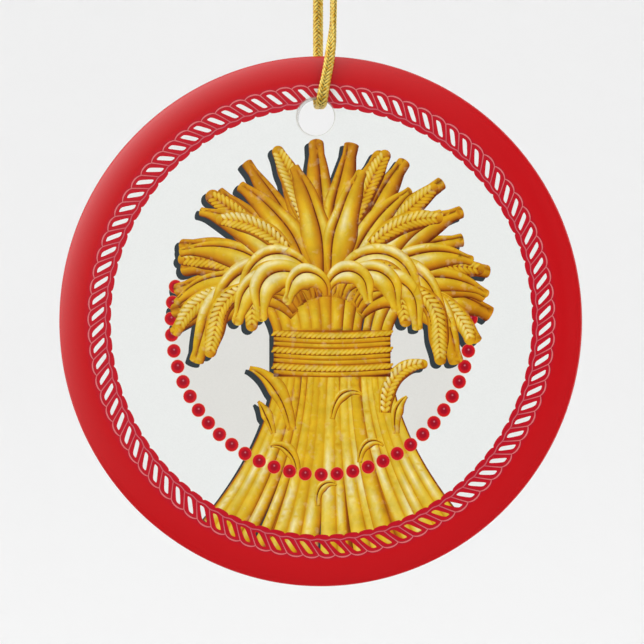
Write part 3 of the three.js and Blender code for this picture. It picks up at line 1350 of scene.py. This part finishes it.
class PrintedDisc:
    """The disc: decorated face, domed edge, side, rounded back edge, back and bore."""

    FRONT_UV = (0.492, 0.508, 0.488)
    BACK_UV = (0.908, 0.092, 0.082)
    BORE_UV = (0.072, 0.072)
    BORE_RINGS = (0.02, 0.045)
    BACK_GRID = (-34.0, 35.0, 4.0)
    RING_GAP = 0.07

    def __init__(self, sizes: DiscSizes, sheet: InkSheet, finish: GlazeFinish) -> None:
        """Keep what the disc is made of."""
        self.sizes = sizes
        self.sheet = sheet
        self.finish = finish
        self.face = FlatFace(sizes)
        self.parts = MeshParts()

    def place(self, flat: Array, depth: Array) -> Array:
        """Turn round-layout places and depths into metres in the row frame."""
        x = flat[:, 0] * self.sizes.squeeze
        z = self.sizes.centre_z + flat[:, 1]
        return MM * np.stack([x, np.broadcast_to(depth, len(flat)), z], axis=1)

    def edge_profile(self) -> tuple[Array, Array, Array]:
        """The turned profile from the flat's rim to the back's.

        Returns:
            Radii and depths in millimetres, and each point's outward direction (in
            radius and depth): a quarter ellipse, a straight side with two close rings
            where the red ends, and a quarter circle.
        """
        s = self.sizes
        front, back = -s.thickness / 2.0, s.thickness / 2.0
        turn = np.linspace(-math.pi / 2.0, 0.0, 17)
        dome = np.stack([s.flat_radius + s.dome_width * np.cos(turn),
                         front + s.dome_drop * (1.0 + np.sin(turn))], axis=1)
        dome_out = np.stack([np.cos(turn) / s.dome_width, np.sin(turn) / s.dome_drop], axis=1)
        steps = s.red_side + np.array([0.0, self.RING_GAP, 0.8])
        side = np.stack([np.full(3, s.radius), front + s.dome_drop + steps], axis=1)
        side_out = np.tile([1.0, 0.0], (3, 1))
        round_off = np.linspace(0.0, math.pi / 2.0, 8)
        rim = s.radius - s.back_radius
        edge_out = np.stack([np.cos(round_off), np.sin(round_off)], axis=1)
        edge = np.array([rim, back - s.back_radius]) + s.back_radius * edge_out
        out = np.concatenate([dome_out, side_out, edge_out])
        out /= np.linalg.norm(out, axis=1, keepdims=True)
        line = np.concatenate([dome, side, edge])
        return line[:, 0], line[:, 1], out

    def quads(self, near: Array, far: Array) -> Array:
        """Two triangles for each step of two equal closed loops, near to far."""
        a, b = near, np.roll(near, -1)
        c, d = np.roll(far, -1), far
        return np.concatenate([np.stack([a, c, b], axis=1), np.stack([a, d, c], axis=1)])

    def add_front(self) -> tuple[Array, Array]:
        """Add the decorated face; give the indices of its rim and hole loops."""
        face = self.face
        face.cut(self.sheet.shapes)
        face.paint(self.sheet.shapes, self.sheet.paper)
        LOG.info("face: %d points, %d triangles", len(face.points), len(face.triangles))
        normals = np.tile([0.0, -1.0, 0.0], (len(face.points), 1))
        self.parts.add_vertices(self.place(face.points, -self.sizes.thickness / 2.0), normals)
        uvs = self.front_uv(face.points)[face.triangles]
        self.parts.add_triangles(face.triangles, face.colours, uvs, face.gilt)
        return (face.loop_points(0, face.rim_corners),
                face.loop_points(face.rim_corners, face.hole_corners))

    def front_uv(self, flat: Array, run: Array | None = None) -> Array:
        """Bake layout of the front: round, with the edge's run of surface added on.

        Args:
            flat: Round-layout places.
            run: Distance from the centre along the surface, or none on the flat face.

        Returns:
            The middle plus the direction times the run, over the longest run.
        """
        middle_u, middle_v, reach = self.FRONT_UV
        radius = np.linalg.norm(flat, axis=1)
        run = radius if run is None else run
        scale = (reach / self.longest_run() * run / np.maximum(radius, 1e-9))[:, None]
        return np.array([middle_u, middle_v]) + flat * scale

    def longest_run(self) -> float:
        """Distance from the centre to the back's rim along the surface."""
        radii, depths, _ = self.edge_profile()
        return self.sizes.flat_radius + float(np.hypot(np.diff(radii), np.diff(depths)).sum())

    def add_edge(self, rim: Array) -> Array:
        """Add the dome, the side and the rounded back edge; give the last loop."""
        radii, depths, out = self.edge_profile()
        count = len(rim)
        turn = np.linspace(0.0, FULL_TURN, count, endpoint=False)
        circle = np.stack([np.cos(turn), np.sin(turn)], axis=1)
        runs = self.sizes.flat_radius + np.concatenate(
            [[0.0], np.cumsum(np.hypot(np.diff(radii), np.diff(depths)))])
        red, white = linear(*self.sheet.RED), linear(*self.finish.ceramic)
        red_until = (-self.sizes.thickness / 2.0 + self.sizes.dome_drop + self.sizes.red_side
                     + self.RING_GAP / 2.0)
        loops = [rim]
        for radius, depth, (away, deep) in zip(radii[1:], depths[1:], out[1:]):
            lean = np.stack([circle[:, 0] / self.sizes.squeeze * away, np.full(count, deep),
                             circle[:, 1] * away], axis=1)
            lean /= np.linalg.norm(lean, axis=1, keepdims=True)
            loops.append(self.parts.add_vertices(self.place(radius * circle, depth), lean))
        for k in range(len(loops) - 1):
            faces = self.quads(loops[k], loops[k + 1])
            near = self.front_uv(radii[k] * circle, np.full(count, runs[k]))
            far = self.front_uv(radii[k + 1] * circle, np.full(count, runs[k + 1]))
            uvs = self.quad_values(near, far)
            colours = np.stack([red if depths[k] <= red_until else white,
                                red if depths[k + 1] <= red_until else white])
            corner = self.quad_values(np.tile(colours[0], (count, 1)),
                                      np.tile(colours[1], (count, 1)))
            self.parts.add_triangles(faces, corner, uvs)
        return loops[-1]

    def quad_values(self, near: Array, far: Array) -> Array:
        """Corner values that match quads(): one row of three for each triangle."""
        a, b = near, np.roll(near, -1, axis=0)
        c, d = np.roll(far, -1, axis=0), far
        return np.concatenate([np.stack([a, c, b], axis=1), np.stack([a, d, c], axis=1)])

    def add_bore(self, front_loop: Array) -> Array:
        """Add the lips and the bore, front to back.

        Args:
            front_loop: Indices of the face's points round the hole.

        Returns:
            Indices of the back lip's outer loop. The bore was pushed through a little
            askew; the print runs over the front lip and fades out on it into the
            bore's grey, which is painted shade.
        """
        s = self.sizes
        half = s.thickness / 2.0
        turn = np.linspace(0.0, math.pi / 2.0, 6)
        mouth = s.hole_radius + s.hole_lip
        lip = np.stack([mouth - s.hole_lip * np.sin(turn),
                        -half + s.hole_lip * (1.0 - np.cos(turn))], axis=1)
        lip_out = np.stack([-np.sin(turn), -np.cos(turn)], axis=1)
        middle = np.array([[s.hole_radius, -0.6], [s.hole_radius, 0.6]])
        line = np.concatenate([lip, middle, (lip * [1.0, -1.0])[::-1]])
        out = np.concatenate([lip_out, [[-1.0, 0.0]] * 2, (lip_out * [1.0, -1.0])[::-1]])
        count = len(front_loop)
        angle = np.linspace(0.0, FULL_TURN, count, endpoint=False)
        circle = np.stack([np.cos(angle), np.sin(angle)], axis=1)
        runs = np.concatenate([[0.0], np.cumsum(np.hypot(*np.diff(line, axis=0).T))])
        # painted shade: the bore's grey wall colour stands for the shade inside the hole
        wall = linear(*self.finish.bore)
        loops, inks, rings = [], [], []
        for (radius, depth), (away, deep), run in zip(line, out, runs):
            flat = s.hole_centre(depth) + radius * circle
            places = MM * np.stack([flat[:, 0], np.full(count, depth),
                                    s.centre_z + flat[:, 1]], axis=1)
            lean = np.stack([circle[:, 0] * away, np.full(count, deep), circle[:, 1] * away],
                            axis=1)
            loops.append(self.parts.add_vertices(places, lean) if loops else front_loop)
            fade = smooth(np.array(run), 0.0, 1.6 * s.hole_lip)
            print_ink = self.face.ink_at(flat / [s.squeeze, 1.0], self.sheet.shapes,
                                         self.sheet.paper)
            inks.append(print_ink * (1.0 - fade) + wall * fade)
            ring = self.BORE_RINGS[0] + self.BORE_RINGS[1] * run / runs[-1]
            rings.append(np.array(self.BORE_UV) + ring * circle)
        for k in range(len(loops) - 1):
            faces = self.quads(loops[k], loops[k + 1])[:, ::-1]
            self.parts.add_triangles(faces, self.quad_values(inks[k], inks[k + 1])[:, ::-1],
                                     self.quad_values(rings[k], rings[k + 1])[:, ::-1])
        return loops[-1]

    def add_back(self, rim: Array, hole: Array) -> None:
        """Add the plain back between its rim and the hole's back lip."""
        vertices = np.concatenate(self.parts.vertices) / MM
        loops = np.concatenate([rim, hole])
        flat = vertices[loops][:, [0, 2]] - np.array([0.0, self.sizes.centre_z])
        steps = np.arange(*self.BACK_GRID)
        dots = np.stack(np.meshgrid(steps, steps), axis=-1).reshape(-1, 2)
        dots = dots[inside(dots * 1.03, flat[: len(rim)]) & ~inside(dots, flat[len(rim):])]
        away = np.linalg.norm(dots - [self.sizes.hole_x, self.sizes.hole_up], axis=1)
        dots = dots[away > self.sizes.hole_radius + 1.0]
        edges = []
        for first, count in ((0, len(rim)), (len(rim), len(hole))):
            order = np.arange(count)
            edges.append(first + np.stack([order, (order + 1) % count], axis=1))
        everything = np.concatenate([flat, dots])
        found = delaunay_2d_cdt([Vector(p) for p in everything], np.concatenate(edges).tolist(),
                                [], 0, 1e-6)
        source = np.array([group[0] for group in found[3]])
        triangles = source[np.array(found[2])]
        middle = everything[triangles].mean(axis=1)
        keep = inside(middle, flat[: len(rim)]) & ~inside(middle, flat[len(rim):])
        triangles = triangles[keep]
        depth = self.sizes.thickness / 2.0
        places = MM * np.stack([dots[:, 0], np.full(len(dots), depth),
                                self.sizes.centre_z + dots[:, 1]], axis=1)
        added = self.parts.add_vertices(places, np.tile([0.0, 1.0, 0.0], (len(dots), 1)))
        index = np.concatenate([loops, added])
        faces = index[triangles][:, ::-1]
        a, b, c = (everything[triangles[:, k]] for k in range(3))
        turned = (b[:, 0] - a[:, 0]) * (c[:, 1] - a[:, 1]) < (b[:, 1] - a[:, 1]) * (c[:, 0] - a[:, 0])
        faces[turned] = faces[turned][:, ::-1]
        corner = np.where(turned[:, None, None], everything[triangles],
                          everything[triangles][:, ::-1])
        middle_u, middle_v, reach = self.BACK_UV
        uvs = np.array([middle_u, middle_v]) + corner * reach / self.sizes.radius
        colours = np.broadcast_to(linear(*self.finish.ceramic), (len(faces), 3, 3))
        self.parts.add_triangles(faces, colours, uvs)

    def build(self) -> bpy.types.Object:
        """Make the disc, hide the solid it stands in for and hang it from the root body."""
        rim, hole = self.add_front()
        back_rim = self.add_edge(rim)
        back_hole = self.add_bore(hole)
        self.add_back(back_rim, back_hole)
        disc = self.parts.build("PrintedDisc", glaze_material(self.finish))
        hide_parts("ceramic_disc")
        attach(disc, "root")
        return disc


# --------------------------------------------------------------------------------------
# The cord and its knot
# --------------------------------------------------------------------------------------


def spline(points: Array, per_span: int = 24) -> Array:
    """Follow a smooth line through points.

    Args:
        points: The points, n by 3.
        per_span: Samples for each span.

    Returns:
        The Catmull-Rom line with spans weighted by the root of their length; the end
        spans lean on mirrored points.
    """
    ends = np.array([2 * points[0] - points[1], 2 * points[-1] - points[-2]])
    full = np.concatenate([ends[:1], points, ends[1:]])
    share = np.linspace(0.0, 1.0, per_span, endpoint=False)[:, None]
    line = []
    for a, b, c, d in zip(full[:-3], full[1:-2], full[2:-1], full[3:]):
        ab, bc, cd = (math.sqrt(float(np.linalg.norm(q - p))) for p, q in ((a, b), (b, c), (c, d)))
        leave = ((b - a) / ab - (c - a) / (ab + bc) + (c - b) / bc) * bc
        reach = ((c - b) / bc - (d - b) / (bc + cd) + (d - c) / cd) * bc
        line.append(b + leave * share + (3 * (c - b) - 2 * leave - reach) * share**2
                    + (2 * (b - c) + leave + reach) * share**3)
    return np.concatenate([*line, points[-1:]])


@dataclass
class Strand:
    """A route for flat braid, in millimetres: places, and the section's directions."""

    line: Array
    wide: Array
    thick: Array
    run: Array

    @classmethod
    def along(cls, points: Array, spacing: float, twist: Callable[[Array, Array], Array],
              across: tuple[float, float, float] = (1.0, 0.0, 0.0)) -> Strand:
        """Make a strand along points.

        Args:
            points: The route's points.
            spacing: Distance between samples.
            twist: Gives the turn about the route from places and runs, in radians.
            across: The direction the section's width keeps to before the twist.

        Returns:
            Even samples of the spline; width is the across direction less its part
            along the route, turned about the route by the twist.
        """
        fine = spline(points)
        run = np.concatenate([[0.0], np.cumsum(np.linalg.norm(np.diff(fine, axis=0), axis=1))])
        even = np.linspace(0.0, run[-1], max(3, int(run[-1] / spacing) + 1))
        line = np.stack([np.interp(even, run, fine[:, c]) for c in range(3)], axis=1)
        along = np.gradient(line, axis=0)
        along /= np.linalg.norm(along, axis=1, keepdims=True)
        side = np.array(across) - (along @ np.array(across))[:, None] * along
        side /= np.linalg.norm(side, axis=1, keepdims=True)
        up = np.cross(along, side)
        turn = twist(line, even)[:, None]
        return cls(line, side * np.cos(turn) + up * np.sin(turn),
                   up * np.cos(turn) - side * np.sin(turn), even)


@dataclass(frozen=True)
class Plait:
    """How the flat braid is made: sixteen threads, each over four others and under four."""

    width: float = 1.4
    thickness: float = 0.9
    carriers: int = 8
    lead: float = 4.2
    thread_width: float = 0.37
    thread_depth: float = 0.17
    rise: float = 0.075
    squareness: float = 0.85
    sides: int = 6
    core_sides: int = 10

    def threads(self, strand: Strand, swell: Array) -> list[tuple[Array, Array, Array, Array]]:
        """Lay the threads along a strand.

        Args:
            strand: The route.
            swell: The section's width factor at each sample.

        Returns:
            Centre, sideways and outward directions and lift of each thread. A thread's
            angle is a full turn for each lead, either way; its place is the flattened
            oval at that angle, as much thinner as it is wider, moved out by the rise
            times its lift. The lift is the sine of twice the angle, clipped, and changes
            sign for the other way round, so that the slants meet in a row of V shapes
            down each flat side.
        """
        inset = self.thread_depth / 2.0 + self.rise
        half_wide = self.width / 2.0 * swell - inset
        half_thick = self.thickness / 2.0 / swell - inset
        made = []
        for way in (1.0, -1.0):
            for thread in range(self.carriers):
                place = (thread + (0.5 if way < 0 else 0.0)) / self.carriers
                turn = FULL_TURN * (way * strand.run / self.lead + place)
                lift = way * np.clip(1.7 * np.sin(2.0 * turn), -1.0, 1.0)
                wide, thick = np.cos(turn), np.sin(turn)
                flat = [np.sign(v) * np.abs(v) ** self.squareness for v in (wide, thick)]
                out_w, out_t = wide / half_wide, thick / half_thick
                size = np.hypot(out_w, out_t)
                out = (strand.wide * (out_w / size)[:, None]
                       + strand.thick * (out_t / size)[:, None])
                centre = (strand.line + strand.wide * (half_wide * flat[0])[:, None]
                          + strand.thick * (half_thick * flat[1])[:, None]
                          + out * (self.rise * lift)[:, None])
                made.append((centre, *self.frame(centre, out), lift))
        return made

    def frame(self, centre: Array, out: Array) -> tuple[Array, Array]:
        """Sideways and outward directions square to a thread's own run."""
        along = np.gradient(centre, axis=0)
        along /= np.linalg.norm(along, axis=1, keepdims=True)
        out = out - (out * along).sum(axis=1, keepdims=True) * along
        out /= np.linalg.norm(out, axis=1, keepdims=True)
        return np.cross(along, out), out


class TubeMesh:
    """Gathers closed tubes with oval sections into one mesh."""

    def __init__(self) -> None:
        """Start empty."""
        self.vertices: list[Array] = []
        self.faces: list[list[int]] = []
        self.shades: list[Array] = []
        self.count = 0

    def add(self, centre: Array, side: Array, out: Array, width: Array, depth: Array,
            sides: int, crown: Array) -> None:
        """Add one tube.

        Args:
            centre: Its centreline.
            side: Unit directions of its width.
            out: Unit directions of its depth.
            width: Full width at each sample.
            depth: Full depth at each sample.
            sides: Corners of its section.
            crown: The painted shade value at each sample's outermost corners, 1 for
                full gold; it falls to none round the section's sides, painting the
                grooves between threads as shade.
        """
        turn = np.linspace(0.0, FULL_TURN, sides, endpoint=False) + math.pi / sides
        rings = (centre[:, None, :]
                 + 0.5 * np.cos(turn)[None, :, None] * (side * width[:, None])[:, None, :]
                 + 0.5 * np.sin(turn)[None, :, None] * (out * depth[:, None])[:, None, :])
        samples = len(centre)
        index = self.count + np.arange(samples * sides).reshape(samples, sides)
        ahead = np.roll(index, -1, axis=1)
        quads = np.stack([index[:-1], index[1:], ahead[1:], ahead[:-1]], axis=-1)
        self.faces += quads.reshape(-1, 4).tolist()
        self.faces += [index[0].tolist(), index[-1][::-1].tolist()]
        self.vertices.append(rings.reshape(-1, 3))
        # painted shade: bright on each thread's crown, falling to dark round its sides
        self.shades.append((crown[:, None] * smooth(np.sin(turn), -0.1, 0.95)).ravel())
        self.count += samples * sides

    def build(self, name: str, material: bpy.types.Material) -> bpy.types.Object:
        """Make the object, in metres."""
        mesh = bpy.data.meshes.new(name)
        mesh.from_pydata((MM * np.concatenate(self.vertices)).tolist(), [], self.faces)
        mesh.shade_smooth()
        shade = mesh.attributes.new("shade", "FLOAT", "POINT")
        shade.data.foreach_set("value", np.concatenate(self.shades))
        mesh.materials.append(material)
        obj = bpy.data.objects.new(name, mesh)
        bpy.context.scene.collection.objects.link(obj)
        return obj


def add_braid(tubes: TubeMesh, strand: Strand, plait: Plait, swell: Array) -> None:
    """Add a core and its threads along a strand."""
    depth = plait.thread_depth
    wide = (plait.width - 4.0 * depth) * swell
    thick = np.full(len(wide), plait.thickness - 4.0 * depth)
    every = slice(None, None, 3)
    # the core gets no crown, so it is all groove brown: painted shade between the threads
    tubes.add(strand.line[every], strand.wide[every], strand.thick[every], wide[every],
              thick[every], plait.core_sides, np.zeros(len(wide))[every])
    for centre, side, out, lift in plait.threads(strand, swell):
        full = np.full(len(centre), plait.thread_width)
        # painted shade: a thread is darker where it dips under the others
        tubes.add(centre, side, out, full, np.full(len(centre), depth), plait.sides,
                  0.72 + 0.28 * lift)


class CordLoop:
    """The doubled cord: down in front of the disc, through the hole and up behind it.

    It follows the cord's solid, but passes the hole's front lip up to 0.07 mm further
    left, so that its threads clear the lip.
    """

    ROUTE = np.array([
        (0.4, -0.65, 0), (0.62, -0.8, -7), (1.05, -1.05, -17), (1.5, -1.45, -27),
        (1.72, -1.8, -34), (1.75, -2.1, -39), (1.67, -2.3, -41.5), (1.48, -2.52, -43.6),
        (1.2, -2.7, -45.9), (0.8, -2.75, -48.2), (0.39, -2.75, -50.25),
        (0.27, -2.69, -50.95), (0.16, -2.43, -51.57), (0.09, -1.93, -51.92),
        (0.04, -1.15, -52.02), (-0.04, 0, -52.02), (-0.14, 1.15, -52.02),
        (-0.2, 1.93, -51.9), (-0.26, 2.43, -51.57), (-0.31, 2.69, -50.95),
        (-0.34, 2.75, -50.25), (-0.38, 2.75, -47.5), (-0.38, 2.68, -44),
        (-0.38, 2.4, -38), (-0.4, 1.8, -26), (-0.42, 1.25, -14), (-0.41, 0.85, -5),
        (-0.4, 0.65, 0),
    ], float)
    EDGEWAYS = 70.0

    def __init__(self, plait: Plait, material: bpy.types.Material) -> None:
        """Keep how the cord is made."""
        self.plait = plait
        self.material = material

    def twist(self, line: Array, _run: Array) -> Array:
        """Turn the front strand on edge above the disc, over a few millimetres."""
        front = smooth(-line[:, 1], 0.0, 0.5)
        return np.radians(self.EDGEWAYS) * front * smooth(line[:, 2], -46.5, -40.5)

    def build(self, knot: bpy.types.Object) -> bpy.types.Object:
        """Args:
            knot: The knot it hangs from; not used.

        Returns:
            The cord: a little flatter and wider where it folds through the hole.
        """
        strand = Strand.along(self.ROUTE, self.plait.lead / 32.0, self.twist)
        fold = smooth(strand.line[:, 2], -48.0, -51.0)
        tubes = TubeMesh()
        add_braid(tubes, strand, self.plait, 1.06 + 0.09 * fold)
        cord = tubes.build("CordLoop", self.material)
        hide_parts("hanging_cord")
        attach(cord, "root")
        return cord


class Knot:
    """The overhand knot in the doubled cord, with its two short tails."""

    ROUTE = np.array([
        (0.0, 0.0, 0.1), (-0.25, 0.25, 1.0), (0.1, 0.25, 2.2), (0.75, 0.0, 3.3),
        (0.5, -0.35, 3.95), (-0.45, -0.6, 3.6), (-0.95, -0.4, 2.5), (-0.65, -0.75, 1.35),
        (0.35, -0.85, 1.15), (0.95, -0.2, 1.75), (0.7, 0.75, 2.6), (0.05, 0.75, 3.5),
        (-0.05, 0.2, 4.5),
    ])
    TAILS = (
        np.array([(0.3, -0.3, 4.3), (0.8, -0.7, 7.0), (2.1, -0.9, 11.2)]),
        np.array([(-0.3, 0.4, 4.3), (-0.7, 0.6, 7.0), (-1.5, 0.5, 10.4)]),
    )
    HALF_GAP = 0.36
    TAIL_TWIST = 0.12

    def __init__(self, plait: Plait, material: bpy.types.Material) -> None:
        """Keep how the cord is made."""
        self.plait = plait
        self.material = material

    def pair(self, strand: Strand, side: float) -> Strand:
        """One of the two cords that run side by side: moved along the section's depth."""
        shift = side * self.HALF_GAP * strand.thick
        return Strand(strand.line + shift, strand.wide, strand.thick, strand.run)

    def build(self) -> bpy.types.Object:
        """Make the knot and its frayed tails."""
        tubes = TubeMesh()
        middle = Strand.along(self.ROUTE, self.plait.lead / 30.0, lambda _line, run: 0.0 * run,
                              across=(0.3, 0.9, 0.2))
        for side in (-1.0, 1.0):
            strand = self.pair(middle, side)
            add_braid(tubes, strand, self.plait, np.full(len(strand.run), 0.84))
        for route in self.TAILS:
            tail = Strand.along(route, self.plait.lead / 30.0,
                                lambda _line, run: self.TAIL_TWIST * run)
            swell = 1.0 + 0.3 * smooth(tail.run, tail.run[-1] - 1.2, tail.run[-1])
            add_braid(tubes, tail, self.plait, swell)
        knot = tubes.build("CordKnot", self.material)
        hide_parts("cord_knot")
        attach(knot, "root")
        return knot


# --------------------------------------------------------------------------------------
# Studio
# --------------------------------------------------------------------------------------


@dataclass(frozen=True)
class Studio:
    """A plain pale sweep, a room that brightens high on the left, and soft frontal light."""

    target: tuple[float, float, float] = (0.0, 0.0, -0.082)
    lens: float = 100.0
    sensor: float = 36.0
    frame_width: float = 0.08953
    aim: tuple[float, float, float] = (0.00018, 0.0, -0.0821)
    backdrop: tuple[int, int, int] = (239, 239, 239)
    floor: float = -0.45
    wall: float = 0.55
    bend: float = 0.35
    sweep_reach: float = 3.0
    sweep_half: float = 4.0
    window: tuple[float, float, float] = (-0.696, -0.174, 0.696)
    window_strength: float = 2.25
    room_strength: float = 0.05
    fill_strength: float = 1.85
    fill_spread: float = 70.0
    fill_from: tuple[float, float, float] = (1.7, -1.0, 0.2)

    def add_camera(self) -> None:
        """Add the camera: straight on, at frame width times lens over sensor width."""
        data = bpy.data.cameras.new("Camera")
        data.lens, data.sensor_width = self.lens, self.sensor
        data.clip_start, data.clip_end = 0.01, 20.0
        camera = bpy.data.objects.new("Camera", data)
        away = self.frame_width * self.lens / self.sensor
        camera.location = (self.aim[0], -away, self.aim[2])
        camera.rotation_euler = (math.pi / 2.0, 0.0, 0.0)
        bpy.context.scene.collection.objects.link(camera)
        bpy.context.scene.camera = camera

    def add_sweep(self) -> None:
        """Add the backdrop: a floor that curves up into a wall behind the object.

        The glaze mirrors the wall but not the floor, which the room stands in for.
        """
        turn = np.linspace(0.0, math.pi / 2.0, 16)
        curve = list(zip(self.wall - self.bend + self.bend * np.sin(turn),
                         self.floor + self.bend - self.bend * np.cos(turn)))
        shader = Shader("sweep_paper")
        shader.surface.inputs["Base Color"].default_value = rgba(linear(*self.backdrop))
        shader.set(shader.surface, Roughness=1.0)
        shader.surface.inputs["Specular IOR Level"].default_value = 0.0
        for name, profile in (("SweepFloor", [(-self.sweep_reach, self.floor), curve[0]]),
                              ("SweepWall", [*curve, (self.wall, self.sweep_reach)])):
            vertices = [(x, y, z) for y, z in profile
                        for x in (-self.sweep_half, self.sweep_half)]
            faces = [(2 * k, 2 * k + 1, 2 * k + 3, 2 * k + 2) for k in range(len(profile) - 1)]
            mesh = bpy.data.meshes.new(name)
            mesh.from_pydata(vertices, [], faces)
            mesh.shade_smooth()
            mesh.materials.append(shader.material)
            part = bpy.data.objects.new(name, mesh)
            part.visible_glossy = name == "SweepWall"
            bpy.context.scene.collection.objects.link(part)
            part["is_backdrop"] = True

    def add_fill(self) -> None:
        """Add the wide frontal fill, turned to the target, which the glaze doesn't mirror."""
        fill = bpy.data.lights.new("Fill", "SUN")
        fill.energy, fill.angle = self.fill_strength, math.radians(self.fill_spread)
        light = bpy.data.objects.new("Fill", fill)
        light.location = self.fill_from
        gap = Vector(self.target) - Vector(self.fill_from)
        light.rotation_euler = gap.to_track_quat("-Z", "Y").to_euler()
        light.visible_glossy = False
        light.visible_camera = False
        bpy.context.scene.collection.objects.link(light)

    def add_world(self) -> None:
        """Add the room: its light is the room's own, plus the window's times the square
        of the cosine between the direction and the window's."""
        world = bpy.data.worlds.new("Room")
        world.use_nodes = True
        nodes, links = world.node_tree.nodes, world.node_tree.links
        place = nodes.new("ShaderNodeTexCoord")
        facing = nodes.new("ShaderNodeVectorMath")
        facing.operation = "DOT_PRODUCT"
        facing.inputs[1].default_value = self.window
        links.new(place.outputs["Generated"], facing.inputs[0])
        steps = (("MAXIMUM", 0.0), ("POWER", 2.0), ("MULTIPLY", self.window_strength),
                 ("ADD", self.room_strength))
        value = facing.outputs["Value"]
        for operation, amount in steps:
            step = nodes.new("ShaderNodeMath")
            step.operation = operation
            step.inputs[1].default_value = amount
            links.new(value, step.inputs[0])
            value = step.outputs[0]
        links.new(value, nodes["Background"].inputs["Strength"])
        nodes["Background"].inputs["Color"].default_value = (1.0, 1.0, 1.0, 1.0)
        bpy.context.scene.world = world

    def build(self) -> None:
        """Add everything, and show colours as they are."""
        bpy.context.scene.view_settings.view_transform = "Standard"
        self.add_camera()
        self.add_sweep()
        self.add_fill()
        self.add_world()


def read_sizes(corners: tuple) -> DiscSizes:
    """Take the disc's sizes from its solid's low and high corners, in millimetres."""
    low, high = (np.array(corner) / MM for corner in corners)
    size = high - low
    return DiscSizes(float(size[0]), float(size[2]), float(size[1]),
                     float((low[2] + high[2]) / 2.0))


def write_sizes(stage: str, found: dict) -> None:
    low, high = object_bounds()
    found[stage] = {"low": list(low), "high": list(high)}


def main() -> None:
    """Load the frame, build the looks on it and set up the studio."""
    logging.basicConfig(level=logging.INFO)
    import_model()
    found: dict = {}
    write_sizes("frame", found)
    sizes = read_sizes(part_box("ceramic_disc"))
    PrintedDisc(sizes, InkSheet(sizes), GlazeFinish()).build()
    gold = braid_material(BraidFinish())
    plait = Plait()
    knot = Knot(plait, gold).build()
    CordLoop(plait, gold).build(knot)
    Studio().build()
    write_sizes("scene", found)


if __name__ == "__main__":
    main()
